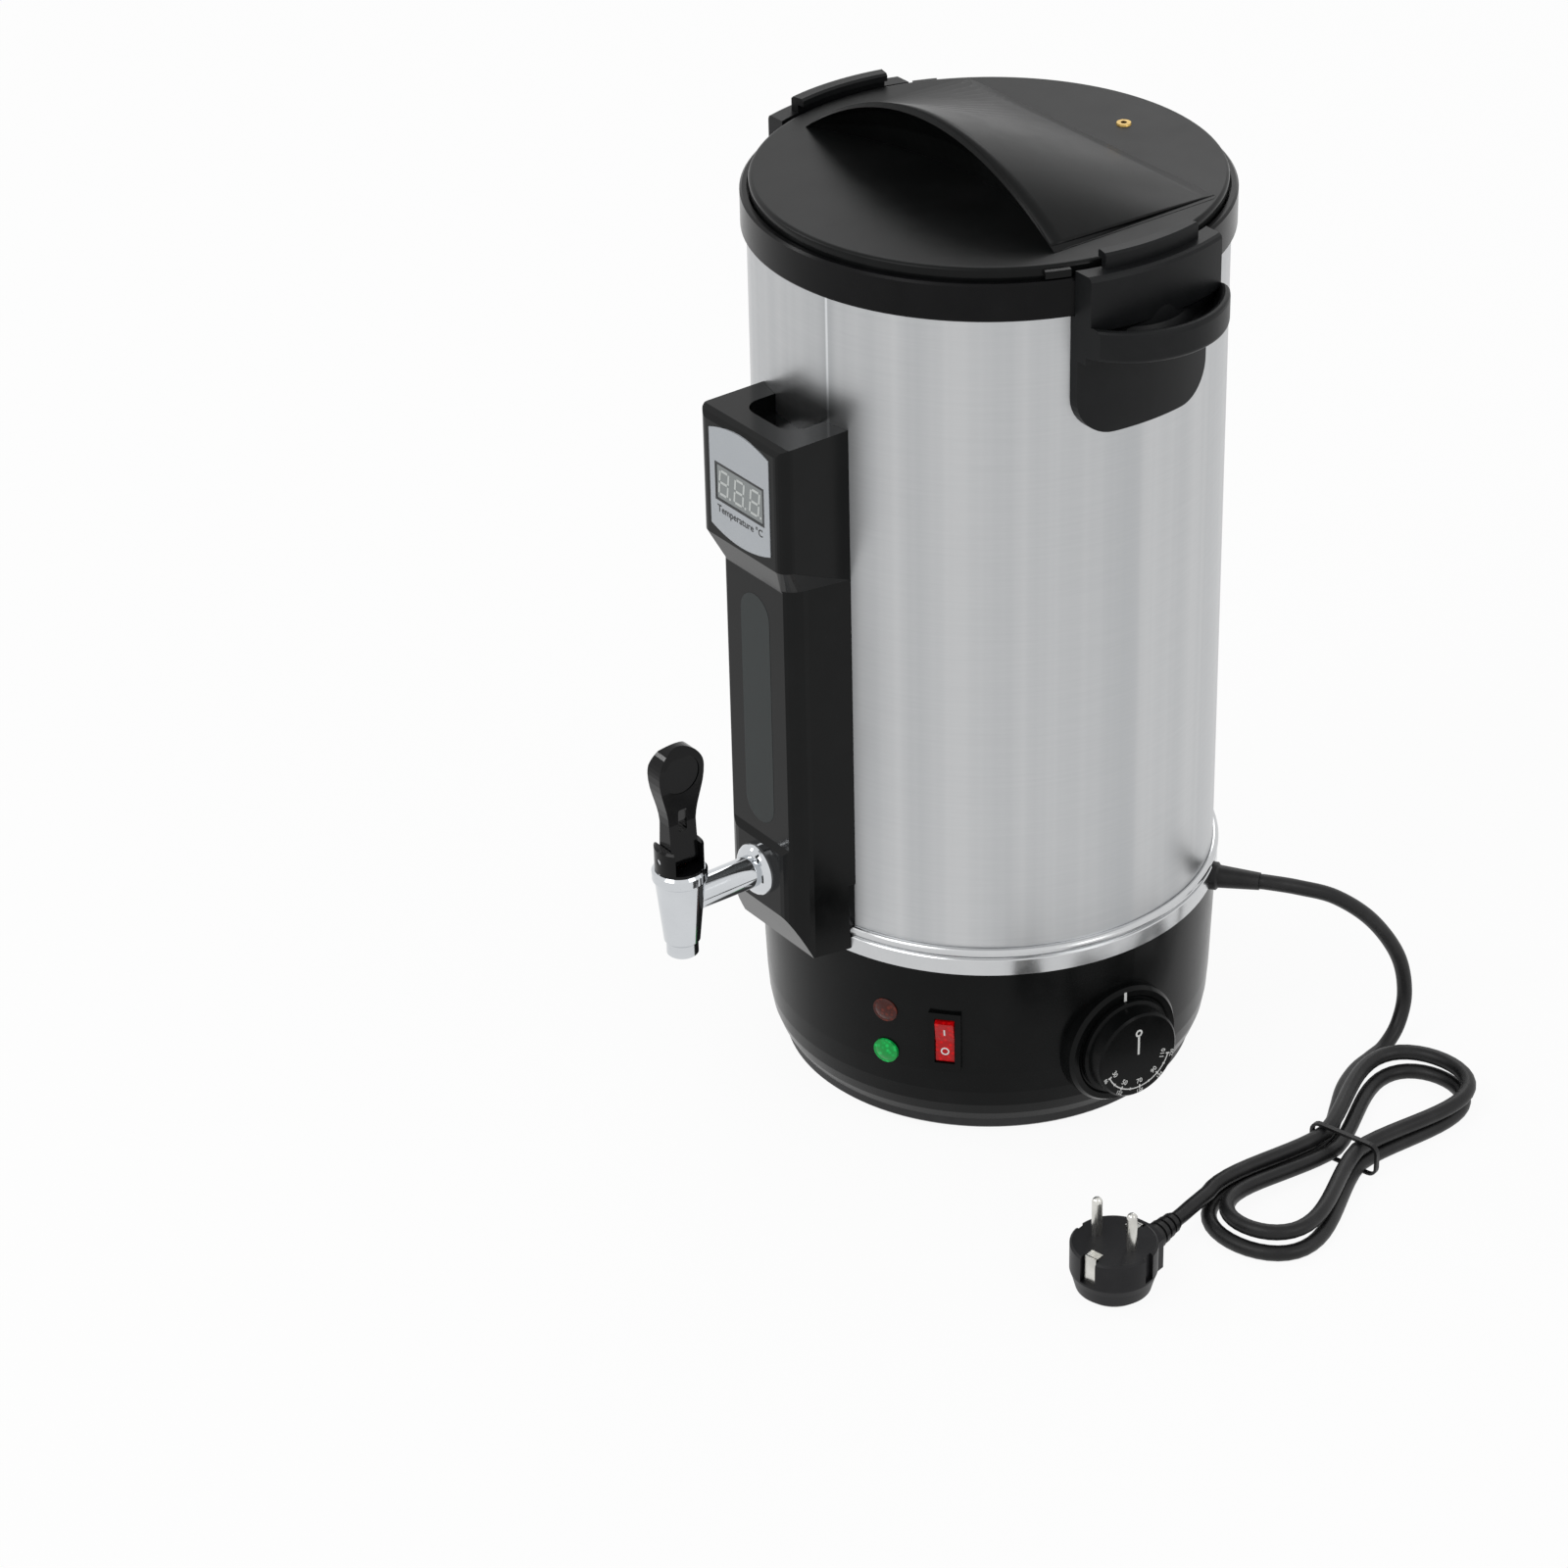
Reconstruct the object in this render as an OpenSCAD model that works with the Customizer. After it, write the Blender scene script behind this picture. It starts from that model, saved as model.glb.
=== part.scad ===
// Electric candle wax melter: a steel pot in a round wall on a black base, a twist-lock lid,
// a control column with a tap, and a mains lead. Millimetres, +Z up. The origin is where the
// vessel's axis meets the table. The column faces -Y and the handles lie on the X axis.

/* [Vessel] */
// Outer diameter of the steel wall
wall_d = 210; // [190:1:240]
// Height of the steel wall
wall_h = 324; // [260:1:380]
// Thickness of the steel wall
wall_t = 1; // [0.8:0.1:1.5]
// Gap between the steel wall and the inner pot
pot_gap = 5; // [4:0.5:8]
// Thickness of the inner pot
pot_t = 1; // [0.8:0.1:1.5]
// Height of the pot's floor above the bottom edge of the steel wall
floor_rise = 15; // [13:1:30]
// Height of the black rim band
rim_h = 17; // [14:0.5:22]

/* [Base] */
// Height of the base housing's top above the table
base_top = 94.5; // [88:0.5:110]
// Thickness of moulded walls
shell_t = 2.5; // [2:0.1:3.5]
// Height of the rubber feet
foot_h = 3; // [2:0.5:6]
// Radius of a rubber foot
foot_r = 9; // [6:0.5:12]
// Distance of the feet from the axis
foot_ring_r = 80; // [70:1:84]
// Height of the chrome ring's lower band
ring_band_h = 8; // [6:0.5:12]

/* [Lid] */
// Height of the raised grip above the lid's flat top
grip_h = 33; // [20:1:40]
// Half width of the raised grip
grip_half = 86; // [70:1:88]
// Distance of the grip's front edge from the lid's middle
grip_front = 34; // [24:1:40]
// Distance of the crease behind the grip from the lid's middle
grip_back = 56; // [45:1:60]
// Depth of the finger recess under the grip's front edge
scoop = 23; // [15:1:28]
// Outer diameter of the brass vent eyelet
vent_d = 7; // [5:0.5:10]

/* [Handles] */
// Width of a handle
handle_w = 71; // [60:1:80]
// Height of a handle's plate below the rim band
handle_drop = 56; // [48:1:70]
// Reach of the grip shelf beyond the steel wall
handle_reach = 31; // [24:1:40]
// Width of the hook over the lid's edge, as an angle
hook_angle = 26; // [22:1:36]

/* [Column] */
// Width of the column at the wall
column_w = 61; // [54:1:70]
// Distance of the column's front face from the vessel's axis
column_front = 130; // [126:1:138]
// How far the display head stands out beyond the column
head_out = 6; // [4:0.5:9]
// Height of the display head
head_h = 59; // [52:1:74]
// Height of the column's top below the rim band
column_drop = 60; // [50:1:80]

/* [Tap] */
// Height of the tap's pipe above the table
tap_z = 136; // [132:1:150]
// Distance of the tap's barrel from the vessel's axis
tap_reach = 175; // [168:1:190]
// Outer diameter of the tap's pipe
pipe_d = 15; // [12:0.5:16]
// Bore of the tap's pipe
pipe_bore = 9; // [7:0.5:10]
// Height of the lever above its pin
lever_h = 56; // [48:1:68]
// Width of the lever's paddle
paddle_w = 24; // [18:1:28]

/* [Controls] */
// Diameter of the thermostat knob at its face
knob_d = 43; // [36:1:48]
// Length of the thermostat knob
knob_l = 11; // [9:0.5:16]
// Diameter of the knob's bezel
bezel_d = 59; // [54:1:64]
// Height of the knob's axis above the table
knob_z = 46; // [42:1:56]
// Direction of the knob, as an angle from +X
knob_a = -4; // [-8:1:4]
// Width of the switch's frame
switch_w = 15; // [13:0.5:18]
// Height of the switch's frame
switch_h = 30; // [26:0.5:34]
// Tilt of the switch's rocker at rest
rocker_tilt = 8; // [5:1:10]
// Diameter of an indicator lamp
lamp_d = 12; // [8:0.5:14]

/* [Lead] */
// Diameter of the mains lead
cord_d = 7.2; // [6.4:0.1:7.6]
// Diameter of the plug's face
plug_d = 39; // [36:0.5:42]
// Height of the plug's body
plug_h = 26; // [22:0.5:30]

/* [Hidden] */
$fn = 96;
e = 0.01;      // a cut runs past its face by this much
fit = 0.1;     // clearance of a fixed piece in its hole
gap = 0.3;     // clearance between pieces that turn or slide

// ---- levels and radii ----
wall_r = wall_d / 2;
plate_z0 = foot_h;
plate_h = 6;
plate_floor = 2;
housing_z0 = plate_z0 + plate_h;
base_r = wall_r + 1.8;
base_foot_r = wall_r - 7.5;
plate_r = base_foot_r - 0.8;
ring_r = base_r + 0.5;
seat_z = base_top + ring_band_h + 0.7;
wall_top = seat_z + wall_h;
pot_r = wall_r - wall_t - pot_gap;
pot_in = pot_r - pot_t;
floor_z = seat_z + floor_rise;
rim_seat = wall_top + pot_t + 2;
rim_z0 = wall_top - rim_h + 7.5;
rim_top = rim_seat + 4.5;
rim_r = wall_r + 2.6;
lid_r = wall_r - 1.3;
lid_under = rim_seat + 7;
lid_t = 3;
lid_top = lid_under + lid_t;
lid_edge = 2;

// ---- hooks and lid tabs ----
hook_in = lid_r + 0.8;
hook_out = hook_in + 7;
hook_web = rim_r + fit;
hook_z = rim_top + 7;
hook_t = 3.5;
tab_angle = 6;
tab_at = hook_angle / 2 + 7;

// ---- column ----
column_z0 = base_top + 2;
column_top = rim_z0 - column_drop;
head_z0 = column_top - head_h;
head_front = column_front + head_out;
column_r = 11;
head_r = 6;
front_half = column_w / 2 - 4;
tap_front = column_front + 1.5;

// ---- tap ----
barrel_top = tap_z + 17.5;
pin_z = barrel_top + 6.4;
barrel_r = 12.6;
spout_z = tap_z - 27.5;
spout_r = 7.3;
seat_level = tap_z - 14.5;
chamber_r = 7.6;
plunger_r = spout_r - 1;
collar_r = 11.2;
collar_h = 12.4;
neck_w = 14.4;
pin_r = 1.5;
cam_r = 4.8;
stem_r = 3;
lift = 4;

// ---- controls ----
skin_r = wall_r + 0.9;     // the base housing's outside at the controls
bezel_out = skin_r + 3.6;
knob_z0 = bezel_out + 0.4;
shaft_r = 3;
switch_z = 57.5;
switch_a = -49.1;
switch_face = skin_r + 1.6;
rocker_w = 8.6;
rocker_h = 22;
rocker_pin_r = 1.4;
rocker_at = switch_face - 3.2;
lamp_a = -64.7;
lamp_z = [68, 45.5];

// ---- lead ----
cord_r = cord_d / 2;
exit_a = 38;
exit_z = 96;
gland_l = 22;
// The free stretch from the gland to the hank, chosen by hand: its first point is on the gland's tip
lead_route = [[105.6, 82.5, 96], [113, 94, 92.5], [120, 111, 84], [127, 128, 68], [132, 141, 46], [135, 144, 26],
    [138, 138, 12], [141, 127, 5], [143, 116, 3.7], [146, 104, 3.7], [153, 90, 3.7], [163, 77, 3.7],
    [172, 66, 3.7]];
hank_at = [194, 52.7];
hank_turn = 14.5;
hank_turns = 2.149;
hank_half = 78;       // half length of the innermost loop
hank_lobe = 14;       // how far the innermost loop swells beside its waist
hank_waist = 4.2;     // distance of the innermost run from the hank's middle, at the waist
hank_pitch = cord_d + 0.7;
hank_layer = cord_d + 0.6;
hank_rings = 24;
hank_z = cord_r + 0.1;
plug_at = [201, -90];
plug_turn = 13;
relief_l = 27;
relief_z = 11;

// ================= helpers =================

// Places children on the wall at angle a and height z, with their z axis pointing outwards
module at_wall(a, z) { rotate([0, 0, a]) translate([0, 0, z]) rotate([0, 90, 0]) children(); }

module disc(r, z0, z1) { translate([0, 0, z0]) cylinder(r=r, h=z1 - z0); }

module tube(r_out, r_in, z0, z1) {
    difference() { disc(r_out, z0, z1); disc(r_in, z0 - e, z1 + e); }
}

module ring_of(n, r, start=0) {
    for (i = [0:n - 1]) rotate([0, 0, start + i * 360 / n]) translate([r, 0, 0]) children();
}

// Points of an arc, counter-clockwise from angle a0 to a1
function arc(c, r, a0, a1, n=8) =
    [for (i = [0:n]) let (a = a0 + (a1 - a0) * i / n) [c[0] + r * cos(a), c[1] + r * sin(a)]];

// A rectangle with corners [x0, y0] and [x1, y1] and the corner radius r
function round_box(x0, y0, x1, y1, r, n=6) = concat(
    arc([x1 - r, y0 + r], r, -90, 0, n), arc([x1 - r, y1 - r], r, 0, 90, n),
    arc([x0 + r, y1 - r], r, 90, 180, n), arc([x0 + r, y0 + r], r, 180, 270, n));

// Outline of the column seen from above: half width w at the wall, wf near the front, corner radius r
function column_plan(w, wf, front, r, back=60) = concat(
    [[-w, -back], [-w, -wall_r + 4]], arc([-wf + r, -front + r], r, 180, 270, 7),
    arc([wf - r, -front + r], r, 270, 360, 7), [[w, -wall_r + 4], [w, -back]]);

// ---- swept tubes ----
function unit(v) = v / norm(v);
function side_of(t) = unit(cross(t, abs(t[2]) > 0.9 ? [1, 0, 0] : [0, 0, 1]));
function tangents(p) = [for (i = [0:len(p) - 1])
    unit(i == 0 ? p[1] - p[0] : i == len(p) - 1 ? p[i] - p[i - 1] : p[i + 1] - p[i - 1])];
// Each ring's first direction is the last one's, turned square to the new tangent, so nothing twists
function frames(t, i=0, n=undef) = let (u = i == 0 ? side_of(t[0]) : unit(n - (n * t[i]) * t[i]))
    i == len(t) - 1 ? [u] : concat([u], frames(t, i + 1, u));
function spline(p, n) = let (m = len(p) - 1) concat([for (i = [0:m - 1], k = [0:n - 1])
    let (a = p[max(i - 1, 0)], b = p[i], c = p[i + 1], d = p[min(i + 2, m)], s = k / n)
    0.5 * (2 * b + (c - a) * s + (2 * a - 5 * b + 4 * c - d) * s * s + (3 * b - a - 3 * c + d) * s * s * s)],
    [p[m]]);
function path_length(p) = norm_sum(p, len(p) - 1);
function norm_sum(p, i) = i == 0 ? 0 : norm(p[i] - p[i - 1]) + norm_sum(p, i - 1);

module sweep(p, r, sides) {
    t = tangents(p);
    u = frames(t);
    n = len(p);
    pts = [for (i = [0:n - 1], k = [0:sides - 1])
        let (a = (k + 0.5) * 360 / sides, w = cross(t[i], u[i])) p[i] + r * (cos(a) * u[i] + sin(a) * w)];
    walls = [for (i = [0:n - 2], k = [0:sides - 1]) let (a = i * sides + k, b = i * sides + (k + 1) % sides)
        each [[a, a + sides, b], [b, a + sides, b + sides]]];
    cap0 = [for (k = [1:sides - 2]) [0, k, k + 1]];
    last = (n - 1) * sides;
    cap1 = [for (k = [1:sides - 2]) [last, last + k + 1, last + k]];
    polyhedron(points=pts, faces=concat(walls, cap0, cap1));
}

// ================= base =================

module foot_pads() color([0.12, 0.12, 0.12])
    ring_of(4, foot_ring_r, 45) rotate_extrude($fn=48)
        polygon([[0, 0], [foot_r - 1, 0], [foot_r, 1], [foot_r - 0.6, foot_h], [0, foot_h]]);

// A shallow dish under the base, with vent slots and four screw bosses
module base_plate() color([0.1, 0.1, 0.1]) difference() {
    union() {
        rotate_extrude() polygon([[0, plate_z0], [plate_r - 1.5, plate_z0], [plate_r, plate_z0 + 1.5],
            [plate_r, housing_z0], [plate_r - shell_t, housing_z0],
            [plate_r - shell_t, plate_z0 + plate_floor], [0, plate_z0 + plate_floor]]);
        ring_of(4, screw_ring_r) disc(4.2, plate_z0 + plate_floor - e, housing_z0, $fn=32);
    }
    ring_of(4, screw_ring_r) {
        disc(1.7, plate_z0 - e, housing_z0 + e, $fn=32);
        disc(3.7, plate_z0 - e, plate_z0 + 1.5, $fn=32);
    }
    ring_of(8, 46, 22.5) for (x = [-12, 0, 12]) translate([x, 0, plate_z0 - e])
        linear_extrude(plate_floor + 3 * e) polygon(round_box(-2, -11, 2, 11, 1.9, 4));
}
screw_ring_r = plate_r - shell_t - 5;

module base_screws() color([0.75, 0.76, 0.78])
    ring_of(4, screw_ring_r) rotate_extrude($fn=32)
        polygon([[0, plate_z0 + 0.2], [3.4, plate_z0 + 0.2], [3.4, plate_z0 + 1.5], [1.6, plate_z0 + 1.5],
            [1.6, housing_z0 + 5.5], [0, housing_z0 + 6.5]]);

// Outline of the base housing: r is how far it is drawn in from the outside
function housing_outline(r) = concat([[base_foot_r - r, housing_z0]],
    arc([base_foot_r - 10.5, housing_z0 + 18], 18 - r, -52, 0, 8),
    [[base_foot_r + 6.8 - r, housing_z0 + 26], [base_r - 0.6 - r, 62], [base_r - r, base_top]]);

module housing_form(r, top) rotate_extrude() polygon(concat([[0, housing_z0]],
    [[base_foot_r - r, housing_z0], [base_foot_r + 2.8 - r, housing_z0 + 5],
     [base_foot_r + 5 - r, housing_z0 + 11], [base_foot_r + 6.4 - r, housing_z0 + 19],
     [base_foot_r + 7.2 - r, housing_z0 + 30], [base_r - r, top]], [[0, top]]));

module base_housing() color([0.07, 0.07, 0.07]) difference() {
    union() {
        difference() {
            housing_form(0, base_top);
            translate([0, 0, -e]) housing_form(shell_t, base_top + 2 * e);
        }
        // the lower flange that the base plate is screwed to
        tube(base_foot_r - 1, screw_ring_r - 5, housing_z0, housing_z0 + 2.5);
        ring_of(4, screw_ring_r) disc(4, housing_z0, housing_z0 + 8, $fn=32);
        // the upper ledge and the lip that centres the chrome ring
        tube(base_r - 1, base_r - 6, base_top - 2.5, base_top);
        tube(base_r - 1.2 - fit, base_r - 3.4, base_top - e, base_top + 3.5);
    }
    ring_of(4, screw_ring_r) disc(1.6, housing_z0 - e, housing_z0 + 7, $fn=32);
    at_wall(knob_a, knob_z) disc(6 + fit, pot_in - 10, ring_r + 5, $fn=48);
    at_wall(switch_a, switch_z) translate([-switch_h / 2 + 2, -switch_w / 2 + 1.6, 0])
        translate([-fit, -fit, pot_in - 10]) cube([switch_h - 4 + 2 * fit, switch_w - 3.2 + 2 * fit, 40]);
    for (z = lamp_z) at_wall(lamp_a, z) disc(lamp_d / 2 - 1.5 + fit, pot_in - 10, ring_r + 5, $fn=48);
    at_wall(exit_a, exit_z) disc(cord_r + 1.5 + fit, pot_in - 10, ring_r + 5, $fn=48);
    at_wall(exit_a, exit_z) disc(cord_r + 3 + fit, ring_r - 2.1, ring_r + 5, $fn=48);
}

// Chrome ring: a lower band, a groove and a round bead, with the ledge that the steel wall stands on
module trim_ring() color([0.85, 0.86, 0.87]) difference() {
    rotate_extrude() polygon(concat(
        [[base_r - 1.2, base_top], [ring_r, base_top], [ring_r, base_top + ring_band_h - 0.4],
         [ring_r - 0.4, base_top + ring_band_h], [ring_r - 0.8, base_top + ring_band_h],
         [ring_r - 0.8, seat_z]],
        arc([ring_r - 1.8, seat_z + 2.4], 2.2, -40, 98, 7),
        [[wall_r + fit, seat_z + 4.4], [wall_r + fit, seat_z], [wall_r - 5, seat_z],
         [wall_r - 5, seat_z - 1.2], [base_r - 1.2, seat_z - 1.2]]));
    at_wall(exit_a, exit_z) disc(cord_r + 3.2, wall_r - 12, ring_r + 5, $fn=48);
    rotate([0, 0, -90]) translate([wall_r - 1, -column_w / 2 - gap, column_z0 - 0.2])
        cube([20, column_w + 2 * gap, 40]);
}

// ================= vessel =================

module through_wall_holes() {
    rotate([0, 0, -90]) translate([0, 0, tap_z]) rotate([0, 90, 0])
        disc(pipe_d / 2, pot_in - 10, wall_r + 2, $fn=64);
    rotate([0, 0, -90]) translate([0, 0, probe_z]) rotate([0, 90, 0])
        disc(probe_r, pot_in - 10, wall_r + 2, $fn=48);
}
probe_z = tap_z + 54;
probe_r = 3;

module body_wall() color([0.72, 0.73, 0.74]) difference() {
    tube(wall_r, wall_r - wall_t, seat_z, wall_top, $fn=180);
    through_wall_holes();
    for (s = [0, 180], dy = [-1, 1]) rotate([0, 0, s]) handle_hole(dy) disc(2.1, wall_r - 8, wall_r + 3, $fn=32);
}

module inner_pot() color([0.78, 0.79, 0.8]) difference() {
    rotate_extrude($fn=180) polygon(concat(
        [[0, floor_z]], arc([pot_r - 8, floor_z + 8], 8, -90, 0, 8),
        [[pot_r, wall_top], [wall_r, wall_top], [wall_r, wall_top + pot_t], [pot_in, wall_top + pot_t]],
        arc([pot_r - 8, floor_z + 8], 8 - pot_t, 0, -90, 8), [[0, floor_z + pot_t]]));
    through_wall_holes();
}

module rim_band() color([0.1, 0.1, 0.1]) rotate_extrude($fn=180) polygon([
    [wall_r + fit, rim_z0], [rim_r - 0.4, rim_z0], [rim_r, rim_z0 + 0.6], [rim_r, rim_top - 1],
    [rim_r - 1, rim_top], [lid_r + 0.8, rim_top], [lid_r + 0.8, rim_seat], [pot_in, rim_seat],
    [pot_in, wall_top + pot_t], [wall_r + fit, wall_top + pot_t]]);

// ================= heater =================

module heater_plate() color([0.7, 0.71, 0.73]) difference() {
    disc(pot_r - 16, floor_z - 3, floor_z);
    ring_of(3, 30, 90) disc(2.2, floor_z - 4, floor_z + 1, $fn=24);
}

// A ring-shaped sheathed element with its two cold ends turned down
module heating_element() color([0.45, 0.43, 0.42]) {
    translate([0, 0, floor_z - 6.5]) rotate([0, 0, -72]) rotate_extrude(angle=324, $fn=120)
        translate([pot_r - 36, 0]) circle(r=3.5, $fn=24);
    for (a = [-72, 252]) rotate([0, 0, a]) translate([pot_r - 36, 0, 0]) {
        disc(3.5, seat_z + 3, floor_z - 6.5, $fn=24);
        translate([-3.2, -0.4, seat_z - 3]) cube([6.4, 0.8, 7]);
    }
}

module thermal_cutout() color([0.8, 0.78, 0.72]) {
    disc(8, floor_z - 9, floor_z - 3, $fn=48);
    for (x = [-5, 5]) translate([x - 0.4, -3, floor_z - 14]) cube([0.8, 6, 5 + e]);
}

module heat_shield() color([0.7, 0.71, 0.72]) difference() {
    disc(wall_r - wall_t - 0.2, seat_z, seat_z + 0.8);
    for (a = [-72, 252]) rotate([0, 0, a]) translate([pot_r - 36, 0, 0]) disc(5, seat_z - 1, seat_z + 2, $fn=24);
    ring_of(6, 70, 0) disc(6, seat_z - 1, seat_z + 2, $fn=32);
}

module terminal_block() color([0.9, 0.88, 0.8])
    translate([-17, 24, plate_z0 + plate_floor]) difference() {
        cube([34, 14, 12]);
        for (x = [6, 17, 28]) translate([x, 7, 4]) cylinder(r=2.4, h=10, $fn=24);
    }

// ================= handles =================

// The hole of a handle screw, dy = -1 or 1 beside the middle
module handle_hole(dy) { at_wall(dy * 11, handle_screw_z) children(); }
handle_screw_z = rim_z0 - 14;

// Mould with a plate on the wall, a block over the rim, a dished grip shelf and the lid's hook
module handle() {
    half = handle_w / 2;
    z0 = rim_z0 - handle_drop;
    block_r = wall_r + 12.5;
    shelf_c = wall_r + handle_reach - shelf_r;
    block_top = rim_top + 3.5;
    difference() {
        union() {
            intersection() {
                tube(wall_r + 4.6, wall_r + 0.15, z0, rim_z0 - gap);
                rotate([90, 0, 90]) linear_extrude(wall_r + 20)
                    polygon(concat(arc([half - 17, z0 + 17], 17, -90, 0, 10), [[half, rim_top], [-half, rim_top]],
                        arc([-half + 17, z0 + 17], 17, 180, 270, 10)));
            }
            intersection() {
                union() {
                    rotate_extrude($fn=180) polygon([[rim_r - 1, rim_z0 - 12], [rim_r - 1, block_top],
                        [block_r - 2, block_top], [block_r - 0.6, block_top - 0.6],
                        [block_r, block_top - 2], [block_r, rim_z0 - 4], [wall_r + 4.6, rim_z0 - 12]]);
                    tube(block_r - 3, wall_r + 0.15, rim_z0 - 20, rim_z0 - gap);
                }
                translate([0, -half, 0]) cube([wall_r + 40, handle_w, wall_top + 40]);
            }
            intersection() {
                translate([shelf_c, 0, rim_z0]) rotate_extrude($fn=120) polygon(concat(
                    [[0, -8], [0, -32], [shelf_r - 2, -15.6]],
                    arc([shelf_r - 2.2, -13.4], 2.2, -60, 0, 3), arc([shelf_r - 2.2, -3.6], 2.2, 0, 180, 6),
                    [[shelf_r - 5.2, -8], [shelf_r - 7.6, -11.4], [shelf_r - 11, -12.6], [shelf_r - 14.5, -11.2],
                     [shelf_r - 17.4, -6.4], [shelf_r - 18.6, 1], [shelf_r - 19, 6], [0, 6]]));
                translate([wall_r - 20, -half, rim_z0 - 40]) cube([80, handle_w, 60]);
            }
            hook();
        }
        disc(wall_r + 0.15, z0 - 5, rim_z0 + e, $fn=180);
        disc(hook_web, rim_z0 - gap, hook_z, $fn=180);
        disc(hook_in, rim_top - e, hook_z + 20, $fn=180);
        for (dy = [-1, 1]) handle_hole(dy) disc(1.5, wall_r - 2, wall_r + 9, $fn=32);
    }
}
shelf_r = 44;

module hook() rotate([0, 0, -hook_angle / 2]) rotate_extrude(angle=hook_angle, $fn=180)
    polygon([[hook_in, hook_z], [hook_in, hook_z + hook_t - 1], [hook_in + 1, hook_z + hook_t],
        [hook_out - 1, hook_z + hook_t], [hook_out, hook_z + hook_t - 1], [hook_out, rim_top + 3],
        [hook_web, rim_top + 3], [hook_web, hook_z]]);

module handle_right() color([0.13, 0.13, 0.14]) handle();
module handle_left() color([0.13, 0.13, 0.14]) rotate([0, 0, 180]) handle();

// Screws from the gap behind the steel wall into the handles
module handle_screws() color([0.7, 0.71, 0.72])
    for (s = [0, 180], dy = [-1, 1]) rotate([0, 0, s]) handle_hole(dy) {
        disc(3.6, wall_r - wall_t - 2.6, wall_r - wall_t - 0.35, $fn=32);
        disc(1.5, wall_r - wall_t - 0.36, wall_r + 8.5, $fn=32);
    }

// ================= control column =================

module column_side(x0) {
    translate([x0, 0, 0]) rotate([90, 0, 90]) linear_extrude(100) polygon([
        [-60, column_z0], [-tap_front + 10, column_z0], [-tap_front, column_z0 + 21], [-tap_front, tap_z + 14],
        [-column_front, tap_z + 18], [-column_front, head_z0 - 14], [-head_front, head_z0],
        [-head_front, column_top - 4], [-head_front + 1.2, column_top - 1.2], [-head_front + 4, column_top],
        [-60, column_top]]);
}

// Outside of the column (t = 0), or the room inside it (t = wall thickness)
module column_form(t) intersection() {
    union() {
        translate([0, 0, column_z0 - 1]) linear_extrude(head_z0 - 12 - column_z0 + 1)
            polygon(column_plan(column_w / 2 - t, front_half - t, tap_front - t, column_r - t));
        hull() {
            translate([0, 0, head_z0 - 13 - e]) linear_extrude(0.1)
                polygon(column_plan(column_w / 2 - t, front_half - t, tap_front - t, column_r - t));
            translate([0, 0, head_z0]) linear_extrude(0.1)
                polygon(column_plan(column_w / 2 - t, column_w / 2 - t, head_front - t, head_r - t));
        }
        translate([0, 0, head_z0]) linear_extrude(column_top - head_z0 + 1 - t)
            polygon(column_plan(column_w / 2 - t, column_w / 2 - t, head_front - t, head_r - t));
    }
    translate([0, t, 0]) difference() {
        column_side(-50);
        if (t > 0) translate([-60, -200, 0]) cube([120, 200, column_z0 + t]);
        if (t > 0) translate([-60, -200, column_top - t]) cube([120, 200, 20]);
    }
}

module column_cover() color([0.09, 0.09, 0.09]) difference() {
    column_form(0);
    difference() {
        column_form(shell_t);
        translate([-pocket_w / 2 - shell_t, -pocket_y - shell_t, column_top - pocket_d - shell_t])
            cube([pocket_w + 2 * shell_t, 60, 40]);
    }
    // the pocket in the top, against the steel wall
    translate([0, 0, column_top - pocket_d]) linear_extrude(pocket_d + e)
        polygon(round_box(-pocket_w / 2, -pocket_y, pocket_w / 2, -60, 9));
    disc(wall_r + 0.05, column_z0 - 5, column_top + 5, $fn=180);
    disc(ring_r + 0.05, column_z0 - 5, seat_z + 5, $fn=180);
    translate([0, 0, tap_z]) rotate([90, 0, 0]) disc(pipe_d / 2, wall_r - 10, tap_front + 5, $fn=64);
    // the seat of the fascia and the opening for the display
    translate([0, -head_front + 0.8, fascia_z]) rotate([90, 0, 0]) linear_extrude(5)
        polygon(fascia_outline(fit));
    translate([-window_w / 2, -head_front - 1, window_z - window_h / 2]) cube([window_w, 10, window_h]);
    // the seat of the inlay
    translate([0, -column_front + 0.8, 0]) rotate([90, 0, 0]) linear_extrude(5) polygon(inlay_outline(fit));
    // a shallow step low on each side
    for (s = [-1, 1]) translate([s * (column_w / 2 + 4.4) - 5, -tap_front + 8, column_z0 - e])
        cube([10, 40, tap_z - column_z0 - 6]);
}
pocket_w = 35;
pocket_y = wall_r + 17;
pocket_d = 9;

fascia_w = 43;
fascia_h = 54;
fascia_z = head_z0 + 2;
fascia_bow = 4;
// Outline of the fascia in the front plane, with bowed top and bottom, grown by g
function fascia_outline(g) = let (w = fascia_w / 2 + g, h = fascia_h + g, b = fascia_bow,
    r = (w * w + b * b) / (2 * b), a = asin(w / r))
    concat(arc([0, b + r - b - g], r, 270 - a, 270 + a, 10), arc([0, h - r], r, 90 - a, 90 + a, 10));

window_w = 34;
window_h = 17;
window_z = head_z0 + 28;

module display_fascia() color([0.7, 0.71, 0.73])
    translate([0, -head_front + 0.8, fascia_z]) difference() {
        rotate([90, 0, 0]) linear_extrude(1.2) polygon(fascia_outline(0));
        translate([-window_w / 2, -5, window_z - fascia_z - window_h / 2]) cube([window_w, 10, window_h]);
    }

module display_window() color([0.5, 0.55, 0.55])
    translate([-window_w / 2 + fit, -head_front - 0.2, window_z - window_h / 2 + fit])
        cube([window_w - 2 * fit, shell_t + 0.2, window_h - 2 * fit]);

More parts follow.
